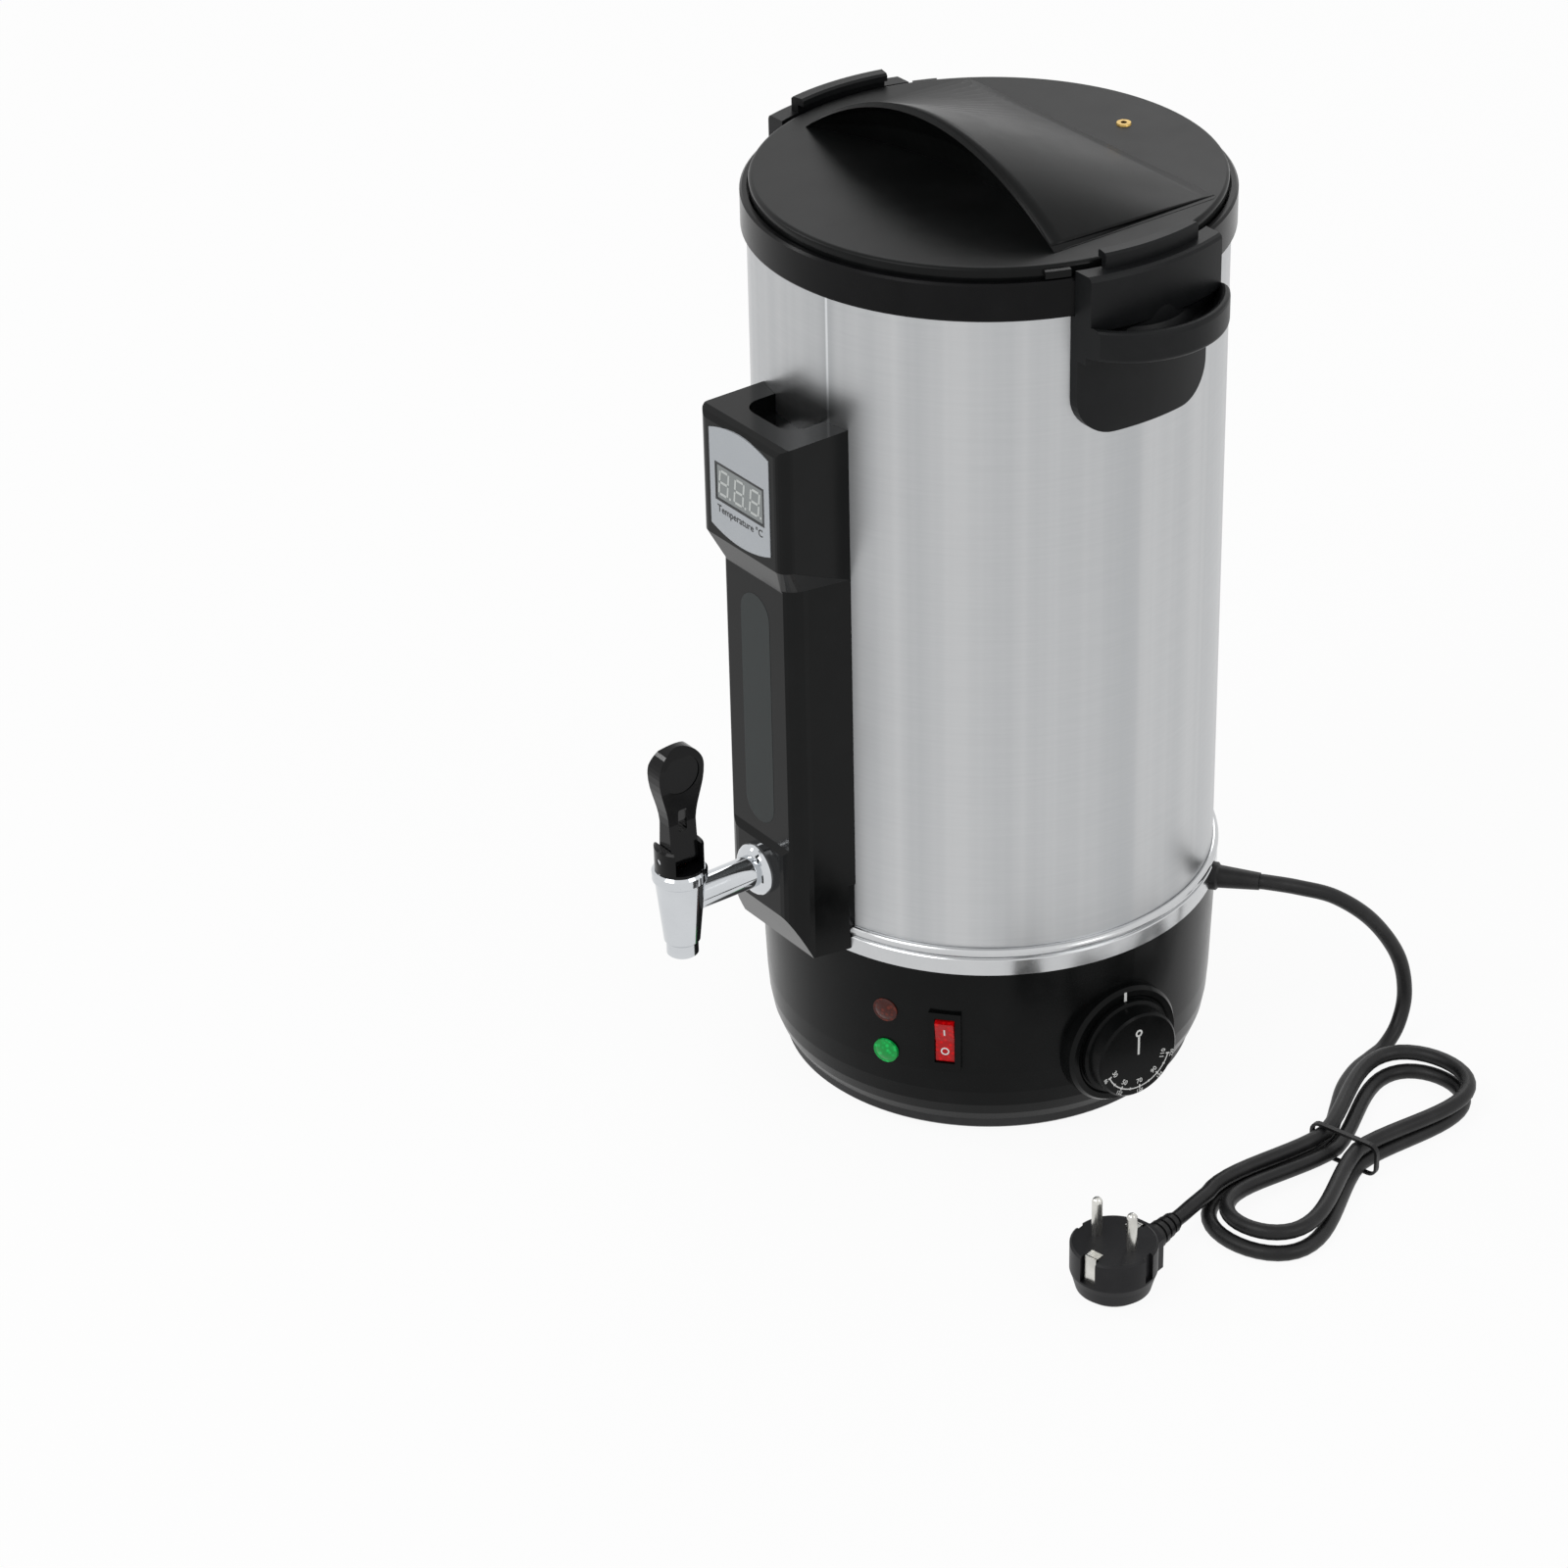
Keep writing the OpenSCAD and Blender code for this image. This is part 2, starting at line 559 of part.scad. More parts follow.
// Circuit board with the display block that fills the window from behind
module display_board() color([0.15, 0.4, 0.2]) translate([0, -head_front + shell_t, 0]) {
    translate([-window_w / 2 - 3, 0, window_z - window_h / 2 - 3]) cube([window_w + 6, 6, window_h + 6]);
    translate([-23, 6, window_z - 24]) cube([46, 1.6, 44]);
}

inlay_w = 21;
inlay_z0 = tap_z + 24;
inlay_z1 = head_z0 - 23;
// A long slot shape in the column's front plane, grown by g
function inlay_outline(g) = concat(
    arc([0, inlay_z0 + inlay_w / 2], inlay_w / 2 + g, 180, 360, 12),
    arc([0, inlay_z1 - inlay_w / 2], inlay_w / 2 + g, 0, 180, 12));

module column_inlay() color([0.16, 0.17, 0.17])
    translate([0, -column_front + 0.8, 0]) rotate([90, 0, 0]) linear_extrude(0.9) polygon(inlay_outline(0));

module temperature_probe() color([0.8, 0.8, 0.8]) translate([0, 0, probe_z]) rotate([90, 0, 0]) {
    disc(probe_r, pot_in - 26, wall_r + 6, $fn=48);
    disc(7, wall_r + 0.6, wall_r + 3.6, $fn=6);
}

// ================= tap =================

module tap_flange() color([0.88, 0.89, 0.9])
    translate([0, 0, tap_z]) rotate([90, 0, 0]) difference() {
        rotate_extrude($fn=72) polygon(concat([[0, tap_front], [12.4, tap_front], [12.4, tap_front + 1.2]],
            arc([8.4, tap_front + 1.6], 4, 10, 90, 6), [[0, tap_front + 5.8]]));
        disc(pipe_d / 2, tap_front - 1, tap_front + 9, $fn=64);
    }

module tap_pipe() color([0.85, 0.86, 0.87]) difference() {
    translate([0, 0, tap_z]) rotate([90, 0, 0]) difference() {
        disc(pipe_d / 2, pot_in - 12, tap_reach, $fn=64);
        disc(pipe_bore / 2, pot_in - 13, tap_reach + 1, $fn=64);
    }
    translate([0, -tap_reach, 0]) barrel_outside();
}

module tap_seal() color([0.7, 0.2, 0.15]) intersection() {
    translate([0, 0, tap_z]) rotate([90, 0, 0]) difference() {
        disc(10, pot_in - 5.5, pot_in + 3, $fn=64);
        disc(pipe_d / 2, pot_in - 8, pot_in + 5, $fn=64);
    }
    disc(pot_in - 0.06, tap_z - 12, tap_z + 12, $fn=180);
}

module tap_nut() color([0.8, 0.8, 0.8]) translate([0, 0, tap_z]) rotate([90, 0, 0]) difference() {
    disc(13, pot_in - 10.5, pot_in - 5.5, $fn=6);
    disc(pipe_d / 2, pot_in - 11, pot_in - 5, $fn=64);
}

module barrel_outside() rotate_extrude($fn=72) polygon([[0, spout_z], [spout_r - 0.6, spout_z],
    [spout_r, spout_z + 0.6], [spout_r, seat_level - 6.5], [spout_r + 1, seat_level - 5.4],
    [barrel_r - 1.2, barrel_top - 6.5], [barrel_r - 0.2, barrel_top - 5.6], [barrel_r, barrel_top - 5],
    [barrel_r, barrel_top - 1.2], [barrel_r - 1, barrel_top], [0, barrel_top]]);

module tap_body() color([0.88, 0.89, 0.9]) translate([0, -tap_reach, 0]) difference() {
    barrel_outside();
    disc(spout_r - 2, spout_z - e, seat_level + e, $fn=64);
    disc(chamber_r, seat_level, barrel_top + e, $fn=64);
    translate([0, 0, tap_z]) rotate([-90, 0, 0]) disc(pipe_bore / 2, 0, barrel_r + 2, $fn=64);
}

module tap_collar() color([0.06, 0.06, 0.06]) translate([0, -tap_reach, 0]) difference() {
    rotate_extrude($fn=72) polygon([[0, barrel_top], [collar_r, barrel_top],
        [collar_r, barrel_top + collar_h - 1], [collar_r - 1, barrel_top + collar_h], [0, barrel_top + collar_h]]);
    translate([-20, -neck_w / 2 - 0.4, barrel_top + 1.2]) cube([40, neck_w + 0.8, 40]);
    disc(stem_r + 0.3, barrel_top - 1, barrel_top + 5, $fn=48);
    translate([0, 0, pin_z]) rotate([90, 0, 0]) translate([0, 0, -20]) cylinder(r=pin_r, h=40, $fn=48);
}

module tap_pin() color([0.8, 0.8, 0.82])
    translate([0, -tap_reach, pin_z]) rotate([90, 0, 0])
        translate([0, 0, -collar_r + 0.4]) cylinder(r=pin_r, h=2 * collar_r - 0.8, $fn=48);

module tap_plunger() color([0.75, 0.3, 0.2]) translate([0, -tap_reach, 0])
    rotate_extrude($fn=64) polygon([[0, seat_level], [plunger_r - 0.6, seat_level],
        [plunger_r, seat_level + 0.8], [plunger_r, seat_level + 5], [stem_r, seat_level + 6.5],
        [stem_r, pin_z - cam_r - lift - 0.9], [0, pin_z - cam_r - lift - 0.9]]);

// Paddle lever: a round foot on the pin, a slotted neck and a rounded paddle
module tap_lever() color([0.06, 0.06, 0.06]) translate([0, -tap_reach, pin_z]) difference() {
    union() {
        rotate([90, 0, 0]) translate([0, 0, -neck_w / 2]) cylinder(r=cam_r, h=neck_w, $fn=72);
        intersection() {
            translate([-20, 0, 0]) rotate([90, 0, 90]) linear_extrude(40) polygon(concat(
                [for (u = paddle_steps) [-paddle_half(u), lever_h - u]],
                [for (i = [len(paddle_steps) - 1:-1:0]) [paddle_half(paddle_steps[i]), lever_h - paddle_steps[i]]]));
            rotate([90, 0, 0]) translate([0, 0, -20]) linear_extrude(40) polygon([[-cam_r, 0], [cam_r, 0], [3.6, 18],
                [4.4, lever_h - 20], [4.6, lever_h - 8], [3.4, lever_h - 2], [1.6, lever_h], [-1.6, lever_h],
                [-3.4, lever_h - 2], [-4.6, lever_h - 8], [-4.4, lever_h - 20], [-3.6, 18]]);
        }
    }
    rotate([90, 0, 0]) translate([0, 0, -20]) cylinder(r=pin_r + 0.05, h=40, $fn=48);
    translate([-10, 0, 0]) rotate([90, 0, 90]) linear_extrude(20) polygon(round_box(-2.2, 14, 2.2, 25, 1, 4));
    // shallow dishes in both faces of the paddle
    for (s = [-1, 1]) translate([s * 4, 0, lever_h - paddle_r - 1]) rotate([0, s * 90, 0])
        cylinder(r=paddle_r - 2.6, h=2, $fn=64);
}
paddle_r = paddle_w / 2;
paddle_steps = concat([for (i = [0:10]) paddle_r * (1 - cos(9 * i))],
    [for (i = [1:12]) paddle_r + (lever_h - paddle_r) * i / 12]);
// Half width of the lever at the distance u below its top: a round end that runs smoothly into the neck
function paddle_half(u) = u < paddle_r ? max(sqrt(paddle_r * paddle_r - (paddle_r - u) * (paddle_r - u)), 0.5)
    : neck_w / 2 + (paddle_r - neck_w / 2) * (0.5 + 0.5 * cos(180 * min((u - paddle_r) / (lever_h * 0.48), 1)));

// ================= controls =================

module lamp(z, tone) color(tone) at_wall(lamp_a, z) {
    disc(lamp_d / 2 - 1.5, skin_r - 14, skin_r + e, $fn=48);
    difference() {
        translate([0, 0, skin_r - 1.2]) rotate_extrude($fn=48) polygon(concat([[0, 0]],
            [[lamp_d / 2, 0], [lamp_d / 2, 1.6]], arc([0, -7.4], 10.2, 62, 90, 6)));
        rotate([0, -90, 0]) translate([0, 0, -z]) housing_form(0, base_top);
    }
}
module lamp_red() lamp(lamp_z[0], [0.35, 0.12, 0.08]);
module lamp_green() lamp(lamp_z[1], [0.05, 0.65, 0.2]);

// Along the wall's outward axis, local x points down and local y along the wall
module switch_frame() color([0.08, 0.08, 0.08]) at_wall(switch_a, switch_z) difference() {
    union() {
        difference() {
            translate([-switch_h / 2, -switch_w / 2, skin_r - 3]) cube([switch_h, switch_w, 4.6]);
            rotate([0, -90, 0]) translate([0, 0, -switch_z]) housing_form(0, base_top);
        }
        translate([-switch_h / 2 + 2, -switch_w / 2 + 1.6, skin_r - 20])
            cube([switch_h - 4, switch_w - 3.2, 20.5]);
    }
    translate([-rocker_h / 2 - 0.9, -rocker_w / 2 - 0.4, skin_r - 10])
        cube([rocker_h + 1.8, rocker_w + 0.8, 20]);
    translate([0, 0, rocker_at]) rotate([90, 0, 0]) translate([0, 0, -rocker_w / 2 - 1.2])
        cylinder(r=rocker_pin_r + 0.05, h=rocker_w + 2.4, $fn=32);
}

// A shallow V seen from the side, tilted so that its upper half stands out
module switch_rocker() color([0.75, 0.05, 0.05]) at_wall(switch_a, switch_z) translate([0, 0, rocker_at])
    rotate([0, rocker_tilt, 0]) {
        rotate([90, 0, 0]) translate([0, 0, -rocker_w / 2]) linear_extrude(rocker_w) polygon([
            [-rocker_h / 2, -1.5], [-rocker_h / 2 + 3, -4], [rocker_h / 2 - 3, -4], [rocker_h / 2, -1.5],
            [rocker_h / 2, 3.6], [0, 2.2], [-rocker_h / 2, 3.6]]);
        rotate([90, 0, 0]) translate([0, 0, -rocker_w / 2 - 0.9])
            cylinder(r=rocker_pin_r, h=rocker_w + 1.8, $fn=32);
    }

module knob_bezel() color([0.08, 0.08, 0.08]) at_wall(knob_a, knob_z) difference() {
    rotate_extrude($fn=96) polygon([[0, skin_r - 12], [bezel_d / 2, skin_r - 12], [bezel_d / 2, bezel_out - 1.4],
        [bezel_d / 2 - 1.4, bezel_out + 0.6], [bezel_d / 2 - 4, bezel_out + 0.6],
        [bezel_d / 2 - 5, bezel_out], [0, bezel_out]]);
    rotate([0, -90, 0]) translate([0, 0, -knob_z]) housing_form(0, base_top);
    disc(5.2, skin_r - 20, bezel_out + 1, $fn=48);
}

// Capillary thermostat behind the wall, with its threaded bush
module thermostat() color([0.75, 0.75, 0.7]) at_wall(knob_a, knob_z) difference() {
    union() {
        translate([-16, -17, skin_r - 32]) cube([32, 34, 20]);
        disc(5, skin_r - 12 - e, bezel_out, $fn=48);
    }
    disc(shaft_r + 0.05, skin_r - 25, bezel_out + 1, $fn=48);
}

module thermostat_knob() color([0.07, 0.07, 0.07]) at_wall(knob_a, knob_z) {
    disc(shaft_r, skin_r - 24, knob_z0 + 3, $fn=48);
    rotate_extrude($fn=96) polygon([[0, knob_z0], [knob_d / 2 + 2, knob_z0], [knob_d / 2 + 2, knob_z0 + 2],
        [knob_d / 2 + 0.5, knob_z0 + 2.6], [knob_d / 2, knob_z0 + knob_l - 1],
        [knob_d / 2 - 1, knob_z0 + knob_l], [0, knob_z0 + knob_l]]);
}

// ================= lead =================

module cord_gland() color([0.05, 0.05, 0.05]) at_wall(exit_a, exit_z) rotate_extrude($fn=48) polygon([
    [0, wall_r - 8], [cord_r + 3, wall_r - 8], [cord_r + 3, wall_r - 5], [cord_r + 1.5, wall_r - 5],
    [cord_r + 1.5, ring_r - 2], [cord_r + 3, ring_r - 2], [cord_r + 3, ring_r + 2], [cord_r + 1.8, ring_r + 3],
    [cord_r + 0.5, ring_r + gland_l], [0, ring_r + gland_l]]);

// The hank's middle line at angle f (0 at its left waist, growing as the lead runs on), k loops out
function hank_local(f, k, z) = let (w = hank_waist + hank_pitch * k, l = hank_half + hank_pitch * k,
    b = hank_lobe + 3.6 * k)
    [-cos(f) * (w + 2.6 * b * pow(abs(sin(f)), 1.5)), -sin(f) * l, z];
function place(p, at, turn) = [at[0] + p[0] * cos(turn) - p[1] * sin(turn),
    at[1] + p[0] * sin(turn) + p[1] * cos(turn), p[2]];
// Two layers: the loops spiral inwards below, climb a layer in the half turn in the middle, and out above
function hank_point(s) = let (t = s - hank_turns / 2, rise = min(max((t + 0.25) / 0.5, 0), 1))
    hank_local(360 * s, abs(t), hank_z + hank_layer * rise);
hank_n = round(hank_turns * hank_rings);
hank_core = [for (i = [0:hank_n]) hank_point(hank_turns * i / hank_n)];
hank_path = let (a = hank_core[0], b = hank_core[hank_n])
    [for (p = concat([a + [0, cord_d, 0]], hank_core, [b + cord_d * unit(b - hank_core[hank_n - 1])]))
        place(p, hank_at, hank_turn)];
hank_in = hank_path[0];
hank_out = hank_path[len(hank_path) - 1];
self_gap = min([for (i = [0:len(hank_path) - 1], j = [i + 8:len(hank_path) - 1])
    j < len(hank_path) ? norm(hank_path[i] - hank_path[j]) : 1000]) - cord_d;
echo(least_gap_in_hank = self_gap, hank_length = path_length(hank_path));

lead_path = spline(concat([[(ring_r + gland_l) * cos(exit_a), (ring_r + gland_l) * sin(exit_a), exit_z]],
    lead_route, [hank_in]), 3);

module cord_lead() color([0.06, 0.06, 0.06]) sweep(lead_path, cord_r, 8);
module cord_hank() color([0.06, 0.06, 0.06]) sweep(hank_path, cord_r, 6);

relief_tip = place([0, plug_d / 2 - 2 + relief_l, relief_z], plug_at, plug_turn);
tail_l = norm(relief_tip - hank_out);
tail_path = spline([hank_out, hank_out + tail_l / 3 * unit(hank_out - hank_path[len(hank_path) - 2]),
    relief_tip + tail_l / 3 * unit(relief_tip - [plug_at[0], plug_at[1], relief_z]), relief_tip], 4);
module cord_tail() color([0.06, 0.06, 0.06]) sweep(tail_path, cord_r, 8);
echo(cord_length = path_length(lead_path) + path_length(hank_path) + path_length(tail_path));

// A thin tie round the waist of the hank
module cord_tie() color([0.03, 0.03, 0.03])
    translate([hank_at[0], hank_at[1], hank_z]) rotate([0, 0, hank_turn]) rotate([90, 0, 0])
        translate([0, 0, -1.2]) linear_extrude(2.4) difference() {
            polygon(tie_outline(1.4));
            polygon(tie_outline(0));
        }
tie_half = hank_waist + hank_pitch * hank_turns / 2 + cord_r + 0.4;
function tie_outline(g) = round_box(-tie_half - g, -hank_z + 0.05 + (g > 0 ? -0.05 : g + 0.8), tie_half + g,
    hank_layer + cord_r + 0.4 + g, 3.4 + g, 5);

module plug_at_place() translate([plug_at[0], plug_at[1], 0]) rotate([0, 0, plug_turn]) children();

module plug_relief() color([0.06, 0.06, 0.06]) plug_at_place() translate([0, 0, relief_z]) rotate([-90, 0, 0])
    rotate_extrude($fn=36) polygon(concat([[0, plug_d / 2 - 2], [7, plug_d / 2 - 2]],
        [for (i = [0:5]) each let (y = plug_d / 2 + 1 + i * 4, r = 6.8 - i * 0.4)
            [[r, y], [r, y + 2.4], [r - 1.2, y + 2.6], [r - 1.3, y + 3.8]]],
        [[cord_r + 0.6, plug_d / 2 - 2 + relief_l], [0, plug_d / 2 - 2 + relief_l]]));

// Angled two-pin plug lying on its back: a round face with side guides, and a bulge for the lead
module plug_body() color([0.08, 0.08, 0.08]) plug_at_place() difference() {
    union() {
        rotate_extrude($fn=72) polygon([[0, 0], [plug_d / 2 - 6, 0], [plug_d / 2 - 2.6, 3],
            [plug_d / 2 - 1, 9], [plug_d / 2, 12], [plug_d / 2, plug_h - 1], [plug_d / 2 - 1, plug_h], [0, plug_h]]);
        intersection() {
            translate([-10.5, 0, 1.5]) cube([21, plug_d / 2 + 3, plug_h - 4]);
            translate([0, -30, relief_z]) rotate([-90, 0, 0]) cylinder(r=13, h=80, $fn=48);
        }
    }
    // keyways on the pins' line and the recesses of the earth clips
    for (s = [-1, 1]) {
        translate([s * (plug_d / 2 + 0.6) - 2.6, -2.6, plug_h - 13]) cube([5.2, 5.2, 14]);
        translate([-4 , s * (plug_d / 2 - 1.2) - 2.4, plug_h - 13]) cube([8, 4.8, 14]);
    }
    for (s = [-1, 1]) translate([s * 9.5, 0, plug_h - 8]) cylinder(r=2.4, h=9, $fn=48);
    translate([0, plug_d / 2 - 2, relief_z]) rotate([-90, 0, 0]) cylinder(r=7.05, h=20, $fn=48);
}

module plug_pins() color([0.85, 0.85, 0.84]) plug_at_place() for (s = [-1, 1]) translate([s * 9.5, 0, 0])
    rotate_extrude($fn=48) polygon(concat([[0, plug_h - 8], [2.4, plug_h - 8]],
        arc([0, plug_h + 16.6], 2.4, 0, 90, 5)));

module plug_clips() color([0.8, 0.8, 0.78]) plug_at_place() for (s = [-1, 1])
    translate([0, s * (plug_d / 2 - 3.2), 0]) {
        translate([-3, -0.4 + s * 0.4, plug_h - 12.9]) cube([6, 0.8, 13.3]);
        translate([-3, s < 0 ? 0.4 : -4.4, plug_h]) cube([6, 4, 0.5]);
    }

// ================= lid =================

// The raised grip, drawn in by t all round: an arch at the front that slopes to a straight crease
// behind. Its front leans back under the arch, deepest in the middle, so that fingers can hold it.
module grip(t, z0) {
    n = 28;
    c = grip_half * sqrt(1 - 1.4 * t / grip_h);
    lean = [[0, 1], [0.4, 0.82], [0.78, 0.4], [0.93, 0], [1, 0]];
    pts = [for (i = [0:n]) let (x = c * (2 * i / n - 1), q = 1 - x * x / (grip_half * grip_half),
        full = grip_h * q + 0.2, fall = full - 1.3 * t, back = scoop * q, y0 = -grip_front + t)
        each [[x, y0 + back + 0.5, z0], [x, y0 + back + 0.4, lid_top + 0.1],
              for (f = [0.4, 0.78, 0.93]) [x, y0 + back * lookup(f * fall / full, lean), lid_top + fall * f],
              [x, y0 + 0.4 + 0.8 * q + back * lookup(fall / full, lean), lid_top + fall],
              [x, grip_back - 2 * t, lid_top + 0.12], [x, grip_back - 2 * t, z0]]];
    m = 8;
    walls = [for (i = [0:n - 1], k = [0:m - 1]) let (a = i * m + k, b = i * m + (k + 1) % m)
        each [[a, b, a + m], [b, b + m, a + m]]];
    cap0 = [for (k = [1:m - 2]) [0, k + 1, k]];
    cap1 = [for (k = [1:m - 2]) [n * m, n * m + k, n * m + k + 1]];
    polyhedron(points=pts, faces=concat(walls, cap0, cap1));
}

module lid() color([0.16, 0.16, 0.17]) difference() {
    union() {
        rotate_extrude($fn=180) polygon(concat([[0, lid_under], [0, lid_top]],
            arc([lid_r - lid_edge, lid_top - lid_edge], lid_edge, 90, 0, 6),
            [[lid_r, rim_seat + 0.5], [lid_r - shell_t, rim_seat + 0.5], [lid_r - shell_t, lid_under]]));
        intersection() {
            grip(0, lid_under + 0.5);
            disc(lid_r - lid_edge - 0.4, lid_under, lid_top + grip_h + 5, $fn=180);
        }
        for (s = [0, 180]) rotate([0, 0, s - tab_at - tab_angle]) rotate_extrude(angle=tab_angle, $fn=180)
            polygon([[lid_r - 2, rim_top + 0.9], [hook_web - 0.9, rim_top + 0.9],
                [hook_web - 0.9, rim_top + 4.2], [lid_r - 2, rim_top + 4.2]]);
    }
    grip(shell_t, lid_under - 1);
    translate([0, vent_y, 0]) disc(vent_d * 0.3 + fit / 2, lid_under - 1, lid_top + 1, $fn=32);
}
vent_y = lid_r - 27.7;

module lid_gasket() color([0.75, 0.72, 0.68]) rotate_extrude($fn=120) polygon([
    [lid_r - shell_t - gap - 2, rim_seat], [lid_r - shell_t - gap, rim_seat],
    [lid_r - shell_t - gap, lid_under], [lid_r - shell_t - gap - 2, lid_under]]);

module vent_eyelet() color([0.8, 0.65, 0.3]) translate([0, vent_y, 0]) rotate_extrude($fn=36) polygon([
    [vent_d * 0.2, lid_under - 0.8], [vent_d * 0.42, lid_under - 0.8], [vent_d * 0.42, lid_under],
    [vent_d * 0.3, lid_under], [vent_d * 0.3, lid_top], [vent_d / 2, lid_top], [vent_d / 2 - 0.3, lid_top + 0.8],
    [vent_d * 0.2, lid_top + 0.8]]);

foot_pads();
base_plate();
base_housing();
base_screws();
trim_ring();
body_wall();
inner_pot();
rim_band();
heater_plate();
heating_element();
thermal_cutout();
heat_shield();
handle_right();
handle_left();
handle_screws();
column_cover();
column_inlay();
display_fascia();
display_window();
display_board();
temperature_probe();
tap_flange();
tap_pipe();
tap_seal();
tap_nut();
tap_body();
tap_collar();
tap_pin();
tap_plunger();
tap_lever();
lamp_red();
lamp_green();
switch_frame();
switch_rocker();
knob_bezel();
thermostat();
thermostat_knob();
terminal_block();
cord_gland();
cord_lead();
cord_hank();
cord_tie();
cord_tail();
plug_relief();
plug_body();
plug_pins();
plug_clips();
lid();
lid_gasket();
vent_eyelet();
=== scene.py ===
import math

import bmesh
import bpy
from mathutils import Matrix, Vector


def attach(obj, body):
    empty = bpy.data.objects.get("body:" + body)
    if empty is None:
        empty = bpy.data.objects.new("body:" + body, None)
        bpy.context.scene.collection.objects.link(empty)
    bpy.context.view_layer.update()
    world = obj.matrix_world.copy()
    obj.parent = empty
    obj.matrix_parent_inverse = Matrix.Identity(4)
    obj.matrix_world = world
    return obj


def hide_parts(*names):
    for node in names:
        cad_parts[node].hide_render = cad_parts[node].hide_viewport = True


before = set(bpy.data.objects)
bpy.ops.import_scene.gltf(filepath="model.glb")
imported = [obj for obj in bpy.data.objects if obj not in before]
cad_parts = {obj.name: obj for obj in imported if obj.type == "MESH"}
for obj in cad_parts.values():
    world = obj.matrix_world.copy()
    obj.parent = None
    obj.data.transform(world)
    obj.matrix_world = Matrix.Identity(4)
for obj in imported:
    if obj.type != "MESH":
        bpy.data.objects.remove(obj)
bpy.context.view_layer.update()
mm = 0.001
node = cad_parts

# camera
cameraView = {"place": (1.4366, -1.1509, 1.2382), "turn": 54.251, "down": 31.008, "roll": -1.45,
              "lens": 105.9, "sensor": 36, "near": 0.05, "far": 50}


def placeCamera(view):
    turn, down, roll = (math.radians(view[k]) for k in ("turn", "down", "roll"))
    ahead = Vector((-math.sin(turn) * math.cos(down), math.cos(turn) * math.cos(down), -math.sin(down)))
    right = Vector((math.cos(turn), math.sin(turn), 0))
    up = right.cross(ahead)
    side = right * math.cos(roll) + up * math.sin(roll)
    top = side.cross(ahead)
    data = bpy.data.cameras.new("photoCamera")
    data.lens = view["lens"]
    data.sensor_width = view["sensor"]
    data.clip_start = view["near"]
    data.clip_end = view["far"]
    camera = bpy.data.objects.new("photoCamera", data)
    bpy.context.collection.objects.link(camera)
    spin = Matrix((side, top, -ahead)).transposed().to_4x4()
    camera.matrix_world = Matrix.Translation(view["place"]) @ spin
    bpy.context.scene.camera = camera


placeCamera(cameraView)
print("camera placed")

# mains lead
# The route is the one in the part's source, so that the lead lies where its solids are.
lead = {"d": 7.2, "exitAngle": 38, "exitR": 129.3, "exitZ": 96,
        "route": [(105.6, 82.5, 96), (113, 94, 92.5), (120, 111, 84), (127, 128, 68), (132, 141, 46),
                  (135, 144, 26), (138, 138, 12), (141, 127, 5), (143, 116, 3.7), (146, 104, 3.7),
                  (153, 90, 3.7), (163, 77, 3.7), (172, 66, 3.7)],
        "hankAt": (194, 52.7), "hankTurn": 14.5, "turns": 2.149, "half": 78, "lobe": 14, "waist": 4.2,
        "perLoop": 72, "runGap": 0.7, "layerGap": 0.6, "lift": 0.1, "climb": 0.5, "swell": 2.6,
        "lobeStep": 3.6}
plug = {"at": (201, -90), "turn": 13, "d": 39, "reliefIn": 2, "reliefL": 27, "reliefZ": 11}


def spunAbout(p, at, turn):
    c, s = math.cos(math.radians(turn)), math.sin(math.radians(turn))
    return Vector((at[0] + p[0] * c - p[1] * s, at[1] + p[0] * s + p[1] * c, p[2]))


def throughPoints(points, steps):   # a smooth line through the points
    out, last = [], len(points) - 1
    for i in range(last):
        a, b, c, d = (points[max(0, min(last, i + k))] for k in (-1, 0, 1, 2))
        for k in range(steps):
            s = k / steps
            out.append(0.5 * (2 * b + (c - a) * s + (2 * a - 5 * b + 4 * c - d) * s ** 2
                              + (3 * b - a - 3 * c + d) * s ** 3))
    return out + [points[last]]


def hankLine():   # two layers of loops, inwards below, a climb in the middle, outwards above
    pitch, layer = lead["d"] + lead["runGap"], lead["d"] + lead["layerGap"]
    line, n = [], round(lead["turns"] * lead["perLoop"])
    for i in range(n + 1):
        s = lead["turns"] * i / n
        t = s - lead["turns"] / 2
        loop, angle = abs(t), 2 * math.pi * s
        rise = min(max(t / lead["climb"] + 0.5, 0), 1)
        rise = rise * rise * (3 - 2 * rise)
        waist, half = lead["waist"] + pitch * loop, lead["half"] + pitch * loop
        lobe = lead["swell"] * (lead["lobe"] + lead["lobeStep"] * loop)
        wide = waist + lobe * abs(math.sin(angle)) ** 1.5
        height = lead["d"] / 2 + lead["lift"] + layer * rise
        line.append(Vector((-math.cos(angle) * wide, -math.sin(angle) * half, height)))
    ahead = (line[-1] - line[-4]).normalized() * lead["d"]
    line = [line[0] + Vector((0, lead["d"], 0))] + line + [line[-1] + ahead]
    return [spunAbout(p, lead["hankAt"], lead["hankTurn"]) for p in line]


